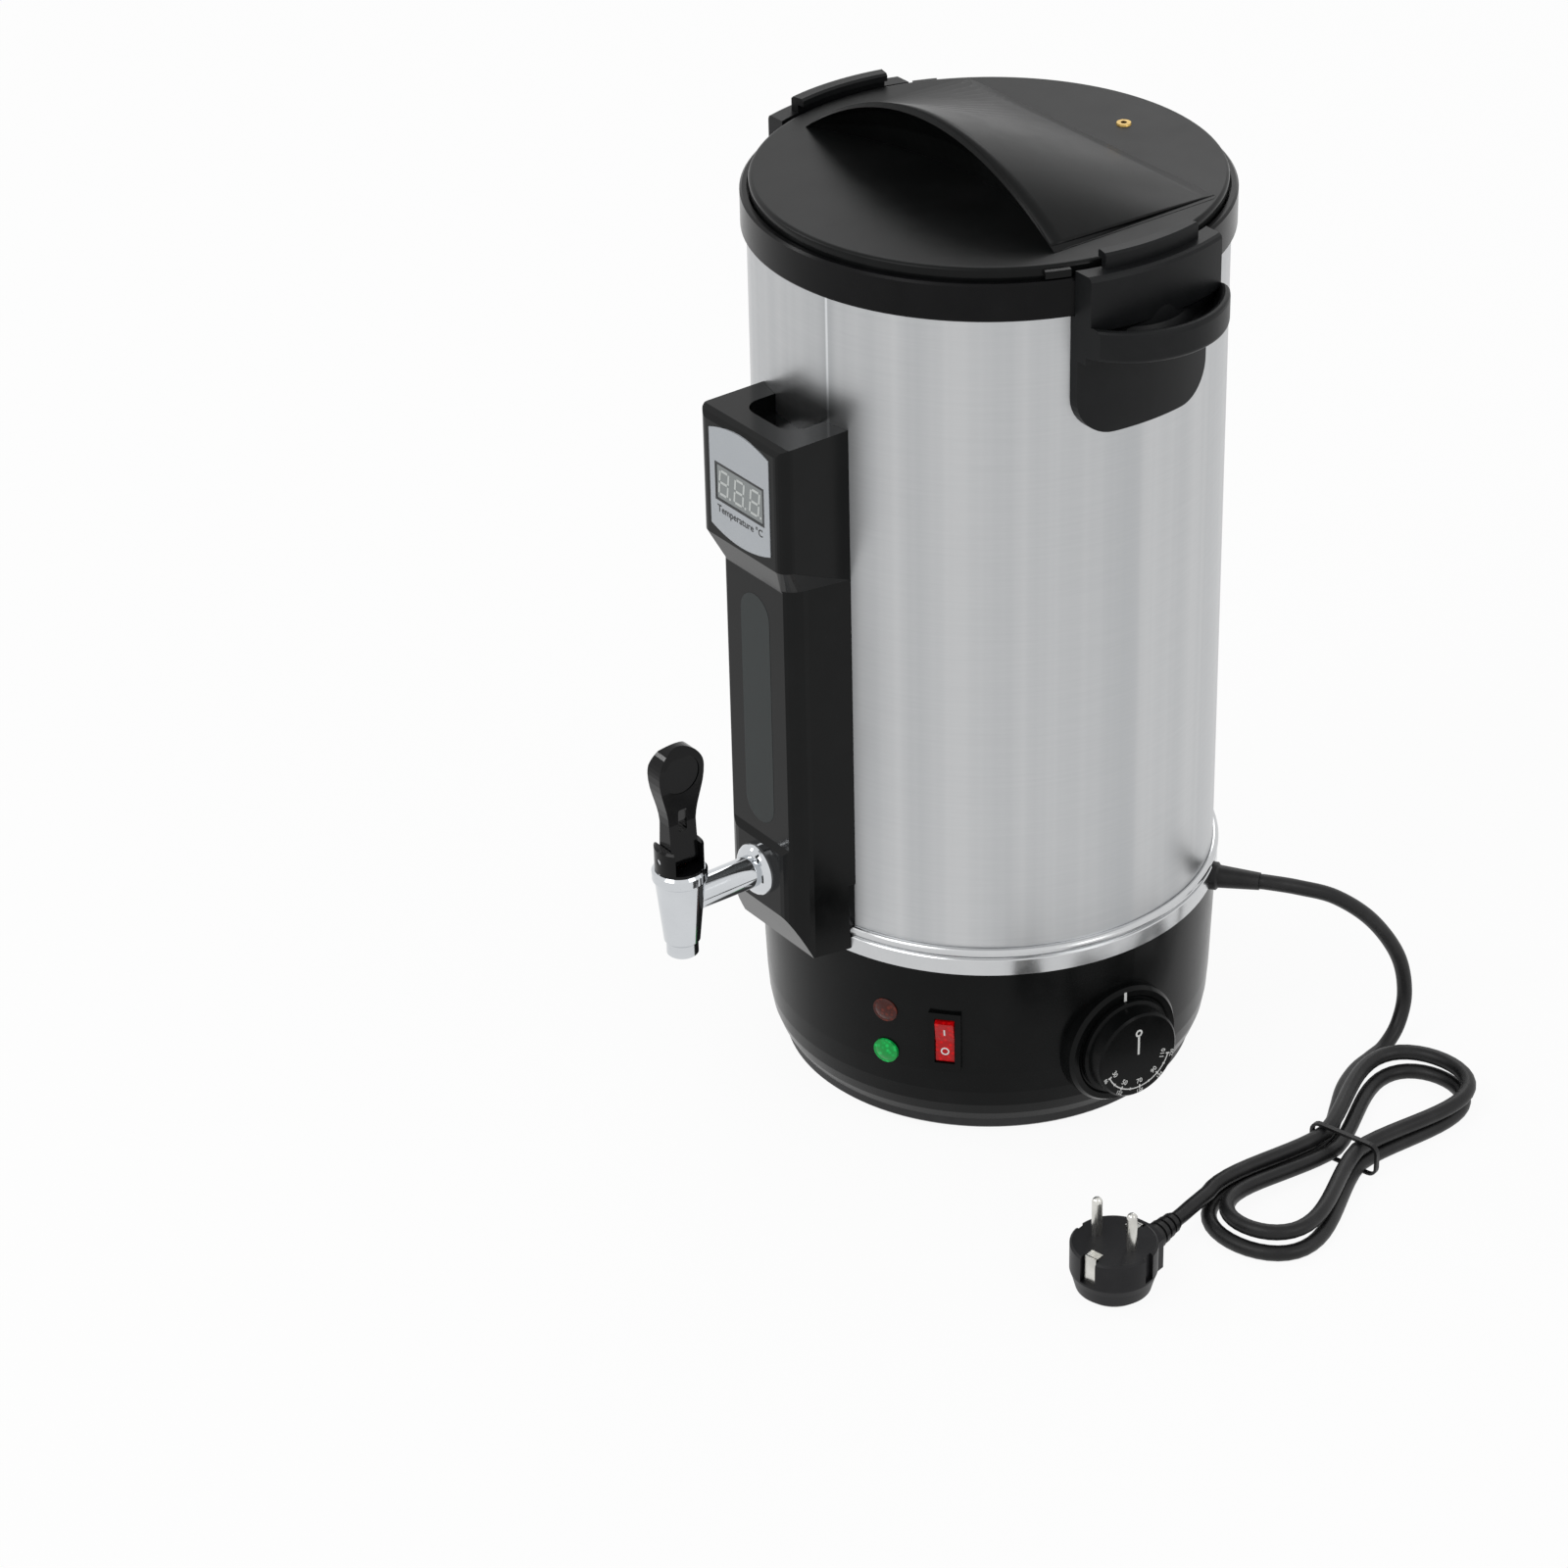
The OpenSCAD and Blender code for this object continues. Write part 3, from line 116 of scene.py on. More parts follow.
def wholeLead():
    a = math.radians(lead["exitAngle"])
    tip = Vector((lead["exitR"] * math.cos(a), lead["exitR"] * math.sin(a), lead["exitZ"]))
    hank = hankLine()
    first = throughPoints([tip] + [Vector(p) for p in lead["route"]] + [hank[0]], 10)
    reliefY = plug["d"] / 2 - plug["reliefIn"] + plug["reliefL"]
    relief = spunAbout((0, reliefY, plug["reliefZ"]), plug["at"], plug["turn"])
    end, third = hank[-1], (relief - hank[-1]).length / 3
    after = end + (end - hank[-2]).normalized() * third
    before = relief + (relief - Vector((*plug["at"], plug["reliefZ"]))).normalized() * third
    tail = throughPoints([end, after, before, relief], 8)
    return first + hank[1:-1] + tail


def tubeCurve(name, points, r, sides):
    data = bpy.data.curves.new(name, "CURVE")
    data.dimensions = "3D"
    data.bevel_depth = 1   # times each point's radius
    data.bevel_resolution = sides
    data.use_fill_caps = True
    line = data.splines.new("POLY")
    line.points.add(len(points) - 1)
    for point, p in zip(line.points, points):
        point.co = (p[0] * mm, p[1] * mm, p[2] * mm, 1)
        point.radius = r * mm
    line.use_smooth = True
    piece = bpy.data.objects.new(name, data)
    bpy.context.collection.objects.link(piece)
    return piece


leadLine = wholeLead()
leadLength = sum((b - a).length for a, b in zip(leadLine, leadLine[1:])) * mm
mainsLead = tubeCurve("mainsLead", leadLine, lead["d"] / 2, 8)
leadLine[0] * mm
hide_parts("cord_lead", "cord_hank", "cord_tail")
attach(mainsLead, "base")
print("lead laid,", round(leadLength, 3), "m")


# finishes
class Wire:
    # one output of a finish's nodes; a sum with it adds a Math node

    def __init__(self, finish, end):
        self.finish, self.end = finish, end

    def math(self, job, *values):
        return self.finish.add("ShaderNodeMath", {"operation": job}, dict(enumerate(values)))

    def __add__(self, other):
        return self.math("ADD", self, other)

    def __radd__(self, other):
        return self.math("ADD", other, self)

    def __sub__(self, other):
        return self.math("SUBTRACT", self, other)

    def __rsub__(self, other):
        return self.math("SUBTRACT", other, self)

    def __mul__(self, other):
        return self.math("MULTIPLY", self, other)

    def __rmul__(self, other):
        return self.math("MULTIPLY", other, self)

    def __lt__(self, other):
        return self.math("LESS_THAN", self, other)

    def sin(self):
        return self.math("SINE", self)

    def size(self):
        return self.math("ABSOLUTE", self)

    def clip(self, low, high):   # 0 up to low, 1 from high
        return self.finish.add("ShaderNodeMapRange", {"interpolation_type": "SMOOTHSTEP"},
                               {"Value": self, "From Min": low, "From Max": high})


class Finish:
    # a material, or the world, made of a shader and the nodes that feed it

    def __init__(self, name, world=None):
        self.material = world or bpy.data.materials.new(name)
        self.material.use_nodes = True
        self.tree = self.material.node_tree
        self.tree.nodes.clear()
        self.place = self.add("ShaderNodeTexCoord", out="Object")

    def add(self, kind, settings=None, values=None, out=0):
        made = self.tree.nodes.new(kind)
        for key, value in (settings or {}).items():
            setattr(made, key, value)
        for key, value in (values or {}).items():
            if isinstance(value, Wire):
                self.tree.links.new(value.end, made.inputs[key])
            else:
                made.inputs[key].default_value = value
        return Wire(self, made.outputs[out]) if made.outputs else None

    def noise(self, size, detail=3, rough=0.55, place=None):   # size is the grain's size in mm
        return self.add("ShaderNodeTexNoise", None, {"Vector": place or self.place, "Scale": 1000 / size,
                                                     "Detail": detail, "Roughness": rough})

    def cells(self, size):
        return self.add("ShaderNodeTexVoronoi", {"feature": "F1"},
                        {"Vector": self.place, "Scale": 1000 / size}, "Distance")

    def axis(self):
        split = self.add("ShaderNodeSeparateXYZ", None, {"Vector": self.place}).end.node
        return [Wire(self, split.outputs[k]) for k in range(3)]

    def mix(self, amount, a, b):
        made = self.add("ShaderNodeMix", {"data_type": "RGBA"}, {0: amount}, 2)
        for slot, value in ((6, a), (7, b)):
            if isinstance(value, Wire):
                self.tree.links.new(value.end, made.end.node.inputs[slot])
            else:
                made.end.node.inputs[slot].default_value = (*value, 1)
        return made

    def relief(self, height, depth, strength=1.0, on=None):   # depth in mm
        values = {"Height": height, "Distance": depth * mm, "Strength": strength}
        if on:
            values["Normal"] = on
        return self.add("ShaderNodeBump", None, values)

    def shade(self, **values):
        colour = values.get("Base_Color")
        if colour is not None and not isinstance(colour, Wire):
            values["Base_Color"] = (*colour, 1)
        values = {key.replace("_", " "): value for key, value in values.items()}
        shader = self.add("ShaderNodeBsdfPrincipled", None, values)
        self.add("ShaderNodeOutputMaterial", None, {"Surface": shader})
        return self.material


def tint(*tone):   # from the 0-255 numbers of a picture to the linear ones of a shader
    return tuple(((v / 255 + 0.055) / 1.055) ** 2.4 if v > 10 else v / 255 / 12.92 for v in tone)


steelLook = {"tone": tint(197, 198, 199), "dark": tint(177, 179, 181), "rough": 0.32,
             "seamAt": (19.9, -103.1), "wallR": 105}


def brushedSteel(name, look, seam=False):
    f = Finish(name)
    x, y, z = f.axis()
    angle = f.add("ShaderNodeMath", {"operation": "ARCTAN2"}, {0: y, 1: x})
    around = f.add("ShaderNodeCombineXYZ", None, {0: angle * 0.02, 1: z * 6, 2: 0.0})
    hairs = f.noise(1.6, 4, 0.7, around)
    long = f.noise(9, 3, 0.6, around)
    # painted reflection: vertical light and dark bands round the drum, painted into the base colour by
    # angle
    paintedReflectionBands = f.add("ShaderNodeTexNoise", {"noise_dimensions": "1D"},
                  {"W": angle * 2.2, "Scale": 2.0, "Detail": 3.0})
    # the base colour mixes the painted reflection bands (most of the weight) with the real grain of the
    # brushing (hairs, long)
    tone = f.mix((paintedReflectionBands * 0.8 + hairs * 0.14 + long * 0.16).clip(0.3, 0.8), look["dark"], look["tone"])
    rough = look["rough"] - 0.06 + hairs * 0.1 + f.noise(60) * 0.06
    if seam:   # the sheet's welded seam: a fine bright line with a soft dull edge
        at = math.atan2(look["seamAt"][1], look["seamAt"][0])
        off = ((angle - at) * look["wallR"]).size()   # mm from the seam
        tone = f.mix((1 - off.clip(1, 7)) * 0.35, tone, tint(146, 149, 152))
        tone = f.mix((1 - off.clip(0.3, 0.9)) * 0.8, tone, tint(226, 228, 230))
    return f.shade(Base_Color=tone, Metallic=1.0, Roughness=rough, Anisotropic=0.5,
                   Normal=f.relief(hairs, 0.01, 0.25))


def chrome(name, tone, rough):
    f = Finish(name)
    smudge = f.noise(14, 4)
    specks = f.noise(1.2, 2).clip(0.62, 0.8)
    return f.shade(Base_Color=f.mix(smudge * 0.3 + specks * 0.2, tone, tint(168, 171, 175)), Metallic=1.0,
                   Roughness=rough + smudge.clip(0.4, 0.8) * 0.07 + specks * 0.05,
                   Normal=f.relief(f.noise(9, 2), 0.03, 0.4))


def plainMetal(name, tone, rough):
    f = Finish(name)
    grain, stain = f.noise(0.8, 3), f.noise(12, 4)
    colour = f.mix(stain.clip(0.3, 0.75), tone, tuple(v * 0.78 for v in tone))
    return f.shade(Base_Color=colour, Metallic=1.0, Roughness=rough - 0.05 + grain * 0.12,
                   Normal=f.relief(grain, 0.03, 0.4))


# A moulded plastic: orange-peel in the gloss ones, a spark-eroded grain in the satin ones, fine dust.
# Below the height glossyBelow, in mm, it is polished.
def moulded(name, tone, rough, grain, spec, dust, glossyBelow=0):
    f = Finish(name)
    polished = f.axis()[2] < glossyBelow * mm
    peel = f.noise(5, 2)
    fine = f.cells(0.55) if grain else f.noise(0.5, 2)
    worn = f.noise(26, 5, 0.65)
    specks = f.noise(0.9, 2, 0.8).clip(0.7, 0.85)
    colour = f.mix(worn.clip(0.35, 0.8) * dust + specks * dust * 0.6, tone, tint(120, 120, 122))
    gloss = rough + worn.clip(0.3, 0.9) * 0.08 + specks * 0.05 - polished * (rough * 0.6)
    bumps = f.relief(peel, 0.02, 0.25, f.relief(fine, 0.02 + 0.1 * grain, 0.15 + 0.4 * grain))
    return f.shade(Base_Color=colour, Roughness=gloss, Specular_IOR_Level=spec, Normal=bumps)


def rubber(name, tone, rough):
    f = Finish(name)
    grain, bloom = f.noise(0.7, 3), f.noise(18, 4)
    return f.shade(Base_Color=f.mix(bloom.clip(0.4, 0.8) * 0.12, tone, tint(90, 90, 90)),
                   Roughness=rough + grain * 0.12, Specular_IOR_Level=0.3,
                   Normal=f.relief(grain, 0.05, 0.4))


def lens(name, tone, deep, glow):
    f = Finish(name)
    facets = f.cells(2.2)
    colour = f.mix(facets.clip(0.05, 0.6), tone, deep)
    return f.shade(Base_Color=colour, Roughness=0.16 + facets * 0.1, Specular_IOR_Level=0.2,
                   Emission_Color=colour, Emission_Strength=glow, Coat_Weight=facets.clip(0.2, 0.9) * 0.15,
                   Normal=f.relief(facets, 0.25, 0.5))


def printed(name, tone, rough=0.45):
    f = Finish(name)
    ink = f.noise(0.6, 3)
    return f.shade(Base_Color=f.mix(ink.clip(0.45, 0.9) * 0.35, tone, tuple(v * 0.6 for v in tone)),
                   Roughness=rough + ink * 0.1)


def satinSilver(name, tone=tint(176, 180, 184)):
    f = Finish(name)
    flake, soft = f.noise(0.35, 2, 0.8), f.noise(30, 3)
    return f.shade(Base_Color=f.mix(flake * 0.3 + soft * 0.2, tone, tint(150, 155, 160)), Metallic=0.35,
                   Roughness=0.38 + flake * 0.1, Normal=f.relief(flake, 0.02, 0.3))


def circuitBoard(name):
    f = Finish(name)
    x, z = f.axis()[::2]
    tracks = ((x * 2600).sin() * (z * 2100).sin()).clip(0.25, 0.35)
    colour = f.mix(tracks, tint(20, 84, 46), tint(52, 128, 70))
    return f.shade(Base_Color=colour, Roughness=0.4 + tracks * 0.1, Normal=f.relief(tracks, 0.04, 0.5))


steelWall = brushedSteel("brushedSteelWall", steelLook, True)
steelPot = brushedSteel("brushedSteelPot", {**steelLook, "rough": 0.26})
ringChrome = chrome("ringChrome", tint(200, 201, 202), rough=0.16)
tapChrome = chrome("tapChrome", tint(208, 211, 214), rough=0.06)
baseGloss = moulded("baseGloss", tint(9, 10, 10), rough=0.2, grain=0, spec=0.1, dust=0.012)
columnGloss = moulded("columnGloss", tint(9, 10, 10), rough=0.12, grain=0, spec=0.15, dust=0.01)
rimGloss = moulded("rimGloss", tint(8, 8, 9), rough=0.2, grain=0, spec=0.11, dust=0.012)
lidSatin = moulded("lidSatin", tint(13, 14, 14), rough=0.32, grain=0.3, spec=0.12, dust=0.015,
                   glossyBelow=439.2)
handleSatin = moulded("handleSatin", tint(18, 19, 20), rough=0.38, grain=0.5, spec=0.16, dust=0.02)
tapGloss = moulded("tapGloss", tint(7, 7, 8), rough=0.12, grain=0, spec=0.18, dust=0.008)
inlaySatin = moulded("inlaySatin", tint(40, 45, 45), rough=0.42, grain=0.4, spec=0.2, dust=0.03)
plugSatin = moulded("plugSatin", tint(22, 22, 24), rough=0.42, grain=0.4, spec=0.2, dust=0.04)
plateSatin = moulded("plateSatin", tint(26, 26, 27), rough=0.45, grain=0.6, spec=0.3, dust=0.08)
leadSheath = rubber("leadSheath", tint(14, 14, 15), rough=0.36)
footRubber = rubber("footRubber", tint(30, 30, 30), rough=0.7)
screwSteel = plainMetal("screwSteel", tint(190, 192, 194), rough=0.3)
heaterMetal = plainMetal("heaterMetal", tint(150, 148, 144), rough=0.5)
sheathMetal = plainMetal("sheathMetal", tint(110, 100, 92), rough=0.55)
plateMetal = plainMetal("plateMetal", tint(186, 188, 190), rough=0.4)
pinMetal = plainMetal("pinMetal", tint(214, 213, 208), rough=0.22)
brass = plainMetal("eyeletBrass", tint(201, 168, 96), rough=0.25)
siliconeGrey = rubber("gasketSilicone", tint(196, 190, 180), rough=0.5)
sealRed = rubber("sealSilicone", tint(160, 60, 44), rough=0.5)
ceramic = printed("terminalCeramic", tint(232, 228, 214), rough=0.5)
silver = satinSilver("fasciaSilver")
glassGrey = moulded("displayGlass", tint(122, 127, 127), rough=0.12, grain=0, spec=0.5, dust=0.05)
boardGreen = circuitBoard("boardGreen")
rockerRed = lens("rockerRed", tint(214, 10, 14), tint(168, 4, 8), glow=0.1)
lampRed = lens("lampRed", tint(104, 44, 32), tint(64, 24, 18), glow=0.0)
lampGreen = lens("lampGreen", tint(24, 176, 84), tint(10, 132, 56), glow=0.25)
inkWhite = printed("inkWhite", tint(225, 226, 224))
inkBlack = printed("inkBlack", tint(34, 35, 37))
segmentGrey = printed("segmentGrey", tint(186, 190, 188), rough=0.3)
print("finishes mixed")

looks = {
    "foot_pads": footRubber, "base_plate": plateSatin, "base_housing": baseGloss, "base_screws": screwSteel,
    "trim_ring": ringChrome, "body_wall": steelWall, "inner_pot": steelPot, "rim_band": rimGloss,
    "heater_plate": heaterMetal, "heating_element": sheathMetal, "thermal_cutout": plateMetal,
    "heat_shield": plateMetal, "handle_right": handleSatin, "handle_left": handleSatin,
    "handle_screws": screwSteel, "column_cover": columnGloss, "column_inlay": inlaySatin,
    "display_fascia": silver, "display_window": glassGrey, "display_board": boardGreen,
    "temperature_probe": screwSteel, "tap_flange": tapChrome, "tap_pipe": tapChrome, "tap_seal": sealRed,
    "tap_nut": screwSteel, "tap_body": tapChrome, "tap_collar": tapGloss, "tap_pin": screwSteel,
    "tap_plunger": sealRed, "tap_lever": tapGloss, "lamp_red": lampRed, "lamp_green": lampGreen,
    "switch_frame": baseGloss, "switch_rocker": rockerRed, "knob_bezel": baseGloss,
    "thermostat": plateMetal, "thermostat_knob": baseGloss, "terminal_block": ceramic,
    "cord_gland": leadSheath, "cord_lead": leadSheath, "cord_hank": leadSheath, "cord_tie": leadSheath,
    "cord_tail": leadSheath, "plug_relief": leadSheath, "plug_body": plugSatin, "plug_pins": pinMetal,
    "plug_clips": pinMetal, "lid": lidSatin, "lid_gasket": siliconeGrey, "vent_eyelet": brass,
}
for name, look in looks.items():
    solid = node[name]
    solid.data.materials.clear()
    solid.data.materials.append(look)
mainsLead.data.materials.append(leadSheath)


# marks and small pieces
def meshPiece(name, build, finish, body, place=None):
    shape = bmesh.new()
    build(shape)
    data = bpy.data.meshes.new(name)
    bmesh.ops.recalc_face_normals(shape, faces=shape.faces)
    shape.to_mesh(data)
    shape.free()
    if place:
        data.transform(place)
    data.materials.append(finish)
    piece = bpy.data.objects.new(name, data)
    bpy.context.collection.objects.link(piece)
    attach(piece, body)
    return piece


inkThick = 0.08   # mm


def pointsAt(shape, outline, z):
    return [shape.verts.new((x * mm, y * mm, z * mm)) for x, y in outline]


# A flat shape drawn in x and y, in mm, and thickened along z
def slab(shape, outline, thick=inkThick, z=0.0, hole=None):
    low, high = (pointsAt(shape, outline, height) for height in (z, z + thick))
    n = len(outline)
    for i in range(n):
        shape.faces.new((low[i], low[(i + 1) % n], high[(i + 1) % n], high[i]))
    if hole:
        inLow, inHigh = (pointsAt(shape, hole, height) for height in (z, z + thick))
        for i in range(n):
            k = (i + 1) % n
            shape.faces.new((inLow[i], inHigh[i], inHigh[k], inLow[k]))
            shape.faces.new((low[i], inLow[i], inLow[k], low[k]))
            shape.faces.new((high[i], high[k], inHigh[k], inHigh[i]))
    else:
        shape.faces.new(low[::-1])
        shape.faces.new(high)


def ringOutline(r, n=32, at=(0, 0)):
    turns = [2 * math.pi * i / n for i in range(n)]
    return [(at[0] + r * math.cos(a), at[1] + r * math.sin(a)) for a in turns]


def barOutline(x0, y0, x1, y1):
    return [(x0, y0), (x1, y0), (x1, y1), (x0, y1)]


def middleBar(halfWide, halfHigh):
    return barOutline(-halfWide, -halfHigh, halfWide, halfHigh)


# Where a control stands on the base: z runs outwards, y runs up and x along the wall
def onBase(angle, r, z):
    a = math.radians(angle)
    out, up = Vector((math.cos(a), math.sin(a), 0)), Vector((0, 0, 1))
    along = up.cross(out)
    spin = Matrix((along, up, out)).transposed().to_4x4()
    return Matrix.Translation(Vector((r * math.cos(a), r * math.sin(a), z)) * mm) @ spin


# Raised letters of the height given, a little bolder than the plain font
def wordPiece(name, words, height, finish, body, place, thick=inkThick, spin=0.0, at=(0, 0)):
    data = bpy.data.curves.new(name, "FONT")
    data.body = words
    data.size = height * mm
    data.extrude = thick * mm / 2
    data.offset = 0.012 * height * mm
    data.align_x = data.align_y = "CENTER"
    data.resolution_u = 3
    letters = bpy.data.objects.new(name, data)
    bpy.context.collection.objects.link(letters)
    bpy.context.view_layer.update()
    mesh = bpy.data.meshes.new_from_object(letters.evaluated_get(bpy.context.evaluated_depsgraph_get()))
    bpy.data.objects.remove(letters)
    mesh.transform(place @ Matrix.Translation((at[0] * mm, at[1] * mm, 0)) @ Matrix.Rotation(spin, 4, "Z"))
    mesh.materials.clear()
    mesh.materials.append(finish)
    piece = bpy.data.objects.new(name, mesh)
    bpy.context.collection.objects.link(piece)
    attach(piece, body)
    return piece


knob = {"angle": -4, "z": 46, "face": 120.9, "bezelFace": 110.1, "proud": 0.02,
        "eyeAt": (0, 12.2), "eyeR": 1.9, "eyeHole": 1.0, "stem": (-0.55, 0.6, 0.55, 10.2),
        "tick": (-0.7, 23.6, 0.7, 28.4), "scaleFrom": 202, "scaleTo": 344, "scaleR": (17.0, 17.6),
        "longTick": (16.2, 18.2), "shortTick": (16.6, 17.9), "tickHalf": 0.35,
        "rings": [("Inner", 14.2, 3.4, ["30", "50", "70", "90", "110"]),
                  ("Outer", 19.6, 2.5, ["86", "122", "158", "194", "230"])]}
knobFace = onBase(knob["angle"], knob["face"] + knob["proud"], knob["z"])


def drawPointer(shape):
    eye, hole = (ringOutline(r, 32, knob["eyeAt"]) for r in (knob["eyeR"], knob["eyeHole"]))
    slab(shape, eye, hole=hole)
    slab(shape, barOutline(*knob["stem"]))


def scaleAngle(share):
    return math.radians(knob["scaleFrom"] + (knob["scaleTo"] - knob["scaleFrom"]) * share)


def drawScale(shape):
    turns = [scaleAngle(i / 48) for i in range(49)]
    inner, outer = ([(r * math.cos(a), r * math.sin(a)) for a in turns] for r in knob["scaleR"])
    slab(shape, inner + outer[::-1])
    half = knob["tickHalf"]
    for i in range(9):
        c, s = math.cos(scaleAngle(i / 8)), math.sin(scaleAngle(i / 8))
        r0, r1 = knob["shortTick"] if i % 2 else knob["longTick"]
        tick = [(r0, -half), (r0, half), (r1, half), (r1, -half)]
        slab(shape, [(r * c + w * s, r * s - w * c) for r, w in tick], z=0.01)


def onKnob(name, draw):
    meshPiece(name, draw, inkWhite, "thermostat_knob", knobFace)


onKnob("knobPointer", drawPointer)
onKnob("knobScale", drawScale)
for i in range(5):
    a = scaleAngle(i / 4)
    for ring, r, height, words in knob["rings"]:
        wordPiece("knob" + ring + words[i], words[i], height, inkWhite, "thermostat_knob",
                  knobFace, spin=a + math.pi / 2,
                  at=(r * math.cos(a), r * math.sin(a)))
meshPiece("bezelTick", lambda shape: slab(shape, barOutline(*knob["tick"])), inkWhite, "base",
          onBase(knob["angle"], knob["bezelFace"] + knob["proud"], knob["z"]))

# The rocker's face has two slopes, lowest in the middle
switch = {"angle": -49.1, "z": 57.5, "pivot": 104.3, "tilt": 8, "low": 2.2, "rise": 1.4, "half": 11,
          "proud": 0.03, "markY": 5.6, "markThick": 0.06, "onHalf": (0.35, 1.9), "offR": 2.0,
          "offHole": 1.35}
tilted = Matrix.Rotation(math.radians(switch["tilt"]), 4, "X")
rockerFace = onBase(switch["angle"], switch["pivot"], switch["z"]) @ tilted
slope = math.atan2(switch["rise"], switch["half"])


def onRocker(side):   # on the upper slope with side 1, on the lower one with -1
    y = side * switch["markY"]
    lift = switch["low"] + switch["rise"] * switch["markY"] / switch["half"] + switch["proud"]
    at = Matrix.Translation((0, y * mm, lift * mm))
    return rockerFace @ at @ Matrix.Rotation(side * slope, 4, "X")


def drawOn(shape):
    slab(shape, middleBar(*switch["onHalf"]), switch["markThick"])


def drawOff(shape):
    slab(shape, ringOutline(switch["offR"]), switch["markThick"], hole=ringOutline(switch["offHole"]))


meshPiece("switchOn", drawOn, inkWhite, "switch_rocker", onRocker(1))
meshPiece("switchOff", drawOff, inkWhite, "switch_rocker", onRocker(-1))

display = {"front": 136.2, "z": 326.7, "digits": 3, "digitH": 12.6, "digitW": 7.4, "pitch": 11.2,
           "bar": 1.2, "lean": 0.12, "toLeft": 1.2, "dotGap": 0.7, "proud": 0.03, "thick": 0.05,
           "windowHalf": (16.7, 8.2), "rim": 1, "rimProud": 0.02, "rimThick": 0.3,
           "wordZ": 313.6, "wordH": 4.9, "wordProud": 0.25, "wordThick": 0.06}


def onHead(proud, z):   # x runs to the right as one faces the column, y up and z towards the viewer
    turned = Matrix(((1, 0, 0, 0), (0, 0, -1, 0), (0, 1, 0, 0), (0, 0, 0, 1)))
    return Matrix.Translation((0, -(display["front"] + proud) * mm, z * mm)) @ turned


def drawDigits(shape):
    b, w, h = display["bar"], display["digitW"], display["digitH"]

    def bar(x0, x, y, wide, high):
        corners = barOutline(x, y, x + wide, y + high)
        slanted = [(x0 + px + display["lean"] * py, py - h / 2) for px, py in corners]
        slab(shape, slanted, display["thick"])

    inset, foot, waist = 1.15 * b, 0.7 * b, 0.5 * b
    upright = h / 2 - foot - waist
    for k in range(display["digits"]):
        x0 = (k - 1) * display["pitch"] - w / 2 - display["toLeft"]
        for y in (0, h / 2 - b / 2, h - b):
            bar(x0, inset, y, w - 2 * inset, b)
        for x in (0, w - b):
            bar(x0, x, foot, b, upright)
            bar(x0, x, h / 2 + waist, b, upright)
        bar(x0, w + display["dotGap"], 0, b, b)


def drawSurround(shape):
    across, up = display["windowHalf"]
    outer = middleBar(across + display["rim"], up + display["rim"])
    slab(shape, outer, display["rimThick"], hole=middleBar(across, up))


meshPiece("displaySegments", drawDigits, segmentGrey, "base",
          onHead(display["proud"], display["z"]))
meshPiece("displaySurround", drawSurround, inkBlack, "base",
          onHead(display["rimProud"], display["z"]))
wordPiece("temperatureWord", "Temperature °C", display["wordH"], inkBlack, "base",
          onHead(display["wordProud"], display["wordZ"]), display["wordThick"])

# The lid's grip has flat facets; this thin skin, a tenth of a millimetre proud, rounds its slope
hood = {"half": 86, "front": -34, "back": 56, "high": 33, "lidTop": 440.2, "reach": 83.5, "across": 120,
        "along": 12, "frontIn": 0.5, "bulge": 0.8, "topUp": 0.2, "creaseUp": 0.12, "proud": 0.1,
        "thick": 0.4, "edgeFace": 5e-6}


def drawHood(shape):   # a closed sheet: an upper and a lower grid of points, joined round the edge
    sheets = [[], []]
    for i in range(hood["across"] + 1):
        x = hood["reach"] * (2 * i / hood["across"] - 1)
        q = 1 - (x / hood["half"]) ** 2
        top = Vector((x, hood["front"] + hood["frontIn"] + hood["bulge"] * q,
                      hood["lidTop"] + hood["high"] * q + hood["topUp"]))
        crease = Vector((x, hood["back"], hood["lidTop"] + hood["creaseUp"]))
        for sheet, lift in zip(sheets, (hood["proud"], hood["proud"] - hood["thick"])):
            sheet.append([shape.verts.new((top.lerp(crease, k / hood["along"]) + Vector((0, 0, lift))) * mm)
                          for k in range(hood["along"] + 1)])
    for sheet in sheets:
        for one, two in zip(sheet, sheet[1:]):
            for k in range(hood["along"]):
                shape.faces.new((one[k], two[k], two[k + 1], one[k + 1]))
    high, low = sheets
    for k in (0, -1):
        for i in range(hood["across"]):
            shape.faces.new((high[i][k], high[i + 1][k], low[i + 1][k], low[i][k]))
        for j in range(hood["along"]):
            shape.faces.new((high[k][j], high[k][j + 1], low[k][j + 1], low[k][j]))


hoodSkin = meshPiece("hoodSkin", drawHood, lidSatin, "lid")
for face in hoodSkin.data.polygons:   # smooth over the slope, flat round the edge
    face.use_smooth = face.area > hood["edgeFace"]
print("marks printed")

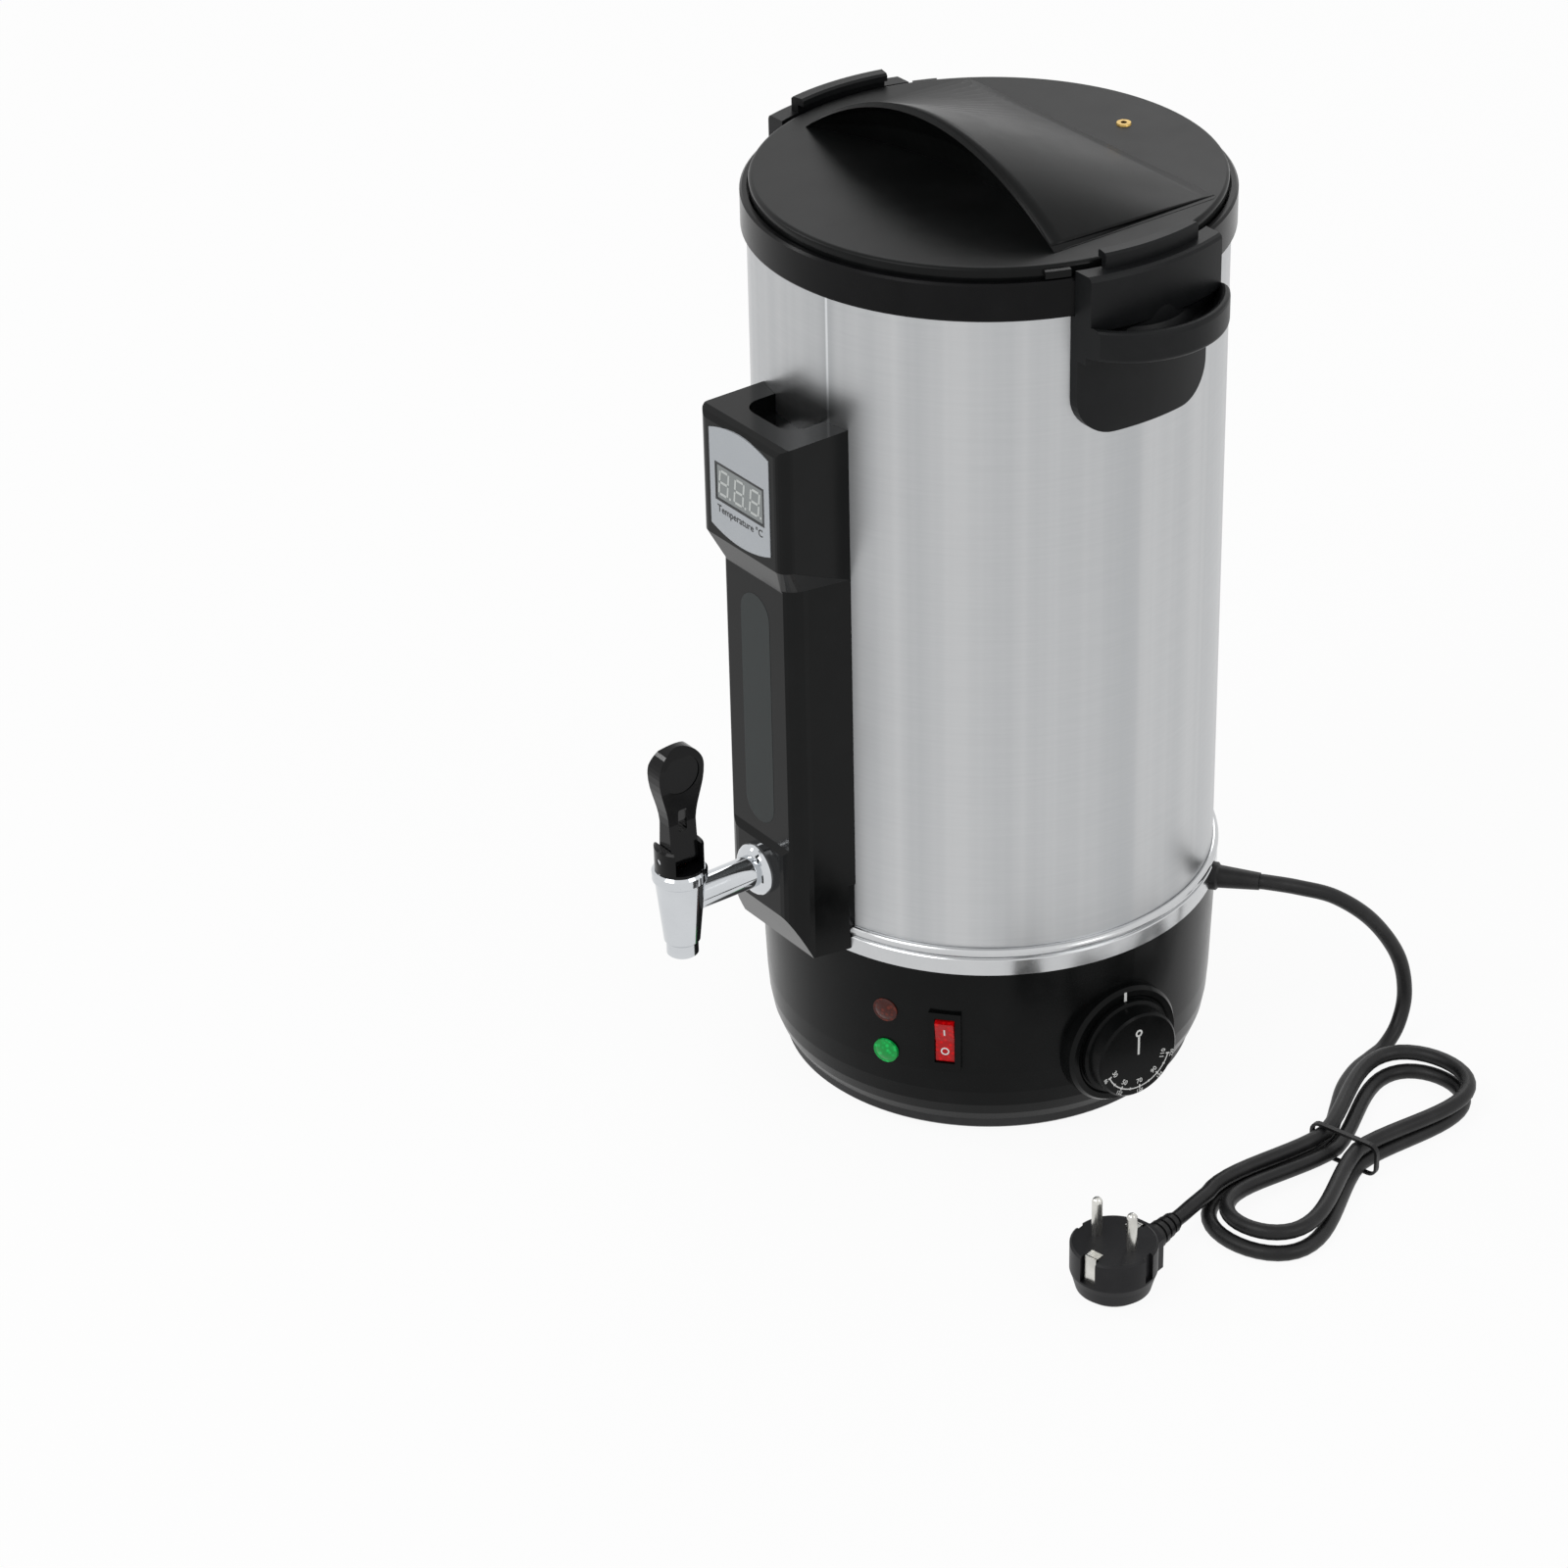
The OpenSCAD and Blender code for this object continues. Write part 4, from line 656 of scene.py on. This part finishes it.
# studio
studio = {"world": 0.62, "floor": 6, "floorTone": (0.8, 0.8, 0.8, 1), "floorGlow": 0.93}
lamps = {
    "keyLamp": {"place": (0.2, -2.4, 2.6), "aim": (0, 0, 0.2), "size": 1.8, "power": 26},
    "fillLamp": {"place": (2.6, 0.6, 1.8), "aim": (0, 0, 0.2), "size": 1.6, "power": 12},
    "rimLamp": {"place": (-1.6, 1.8, 2.2), "aim": (0, 0, 0.3), "size": 1.2, "power": 8},
    "edgeLamp": {"place": (-2.1, -1.7, 2.0), "aim": (0, -0.1, 0.35), "size": 0.45, "power": 12},
}


def seenRays(f):   # 1 for what the camera sees, also in a reflection or through glass
    path = f.add("ShaderNodeLightPath").end.node
    camera, glossy, through = (Wire(f, path.outputs["Is %s Ray" % k])
                               for k in ("Camera", "Glossy", "Transmission"))
    return (camera + glossy + through).clip(0, 1)


def whiteRoom():
    world = bpy.data.worlds.new("room")
    bpy.context.scene.world = world
    room = Finish("room", world)
    soft, white = (room.add("ShaderNodeBackground", None, {"Color": (1, 1, 1, 1), "Strength": k})
                   for k in (studio["world"], 1))
    both = room.add("ShaderNodeMixShader", None, {0: seenRays(room), 1: soft, 2: white})
    room.add("ShaderNodeOutputWorld", None, {"Surface": both})


def paleFloor():
    f = Finish("paleFloor")
    matt = f.add("ShaderNodeBsdfDiffuse", None, {"Color": studio["floorTone"]})
    shine = f.add("ShaderNodeEmission", None, {"Color": (1, 1, 1, 1), "Strength": 1.0})
    both = f.add("ShaderNodeMixShader", None, {0: seenRays(f) * studio["floorGlow"], 1: matt, 2: shine})
    f.add("ShaderNodeOutputMaterial", None, {"Surface": both})
    shape = bmesh.new()
    bmesh.ops.create_grid(shape, x_segments=8, y_segments=8, size=studio["floor"])
    data = bpy.data.meshes.new("floor")
    shape.to_mesh(data)
    shape.free()
    data.materials.append(f.material)
    floor = bpy.data.objects.new("floor", data)
    bpy.context.collection.objects.link(floor)


def softLamp(name, look):
    data = bpy.data.lights.new(name, "AREA")
    data.shape = "DISK"
    data.size = look["size"]
    data.energy = look["power"]
    lamp = bpy.data.objects.new(name, data)
    bpy.context.collection.objects.link(lamp)
    lamp.location = look["place"]
    ahead = Vector(look["aim"]) - Vector(look["place"])
    lamp.rotation_euler = ahead.to_track_quat("-Z", "Y").to_euler()


whiteRoom()
paleFloor()
for name, look in lamps.items():
    softLamp(name, look)
bpy.context.scene.view_settings.view_transform = "Standard"
print("studio lit")
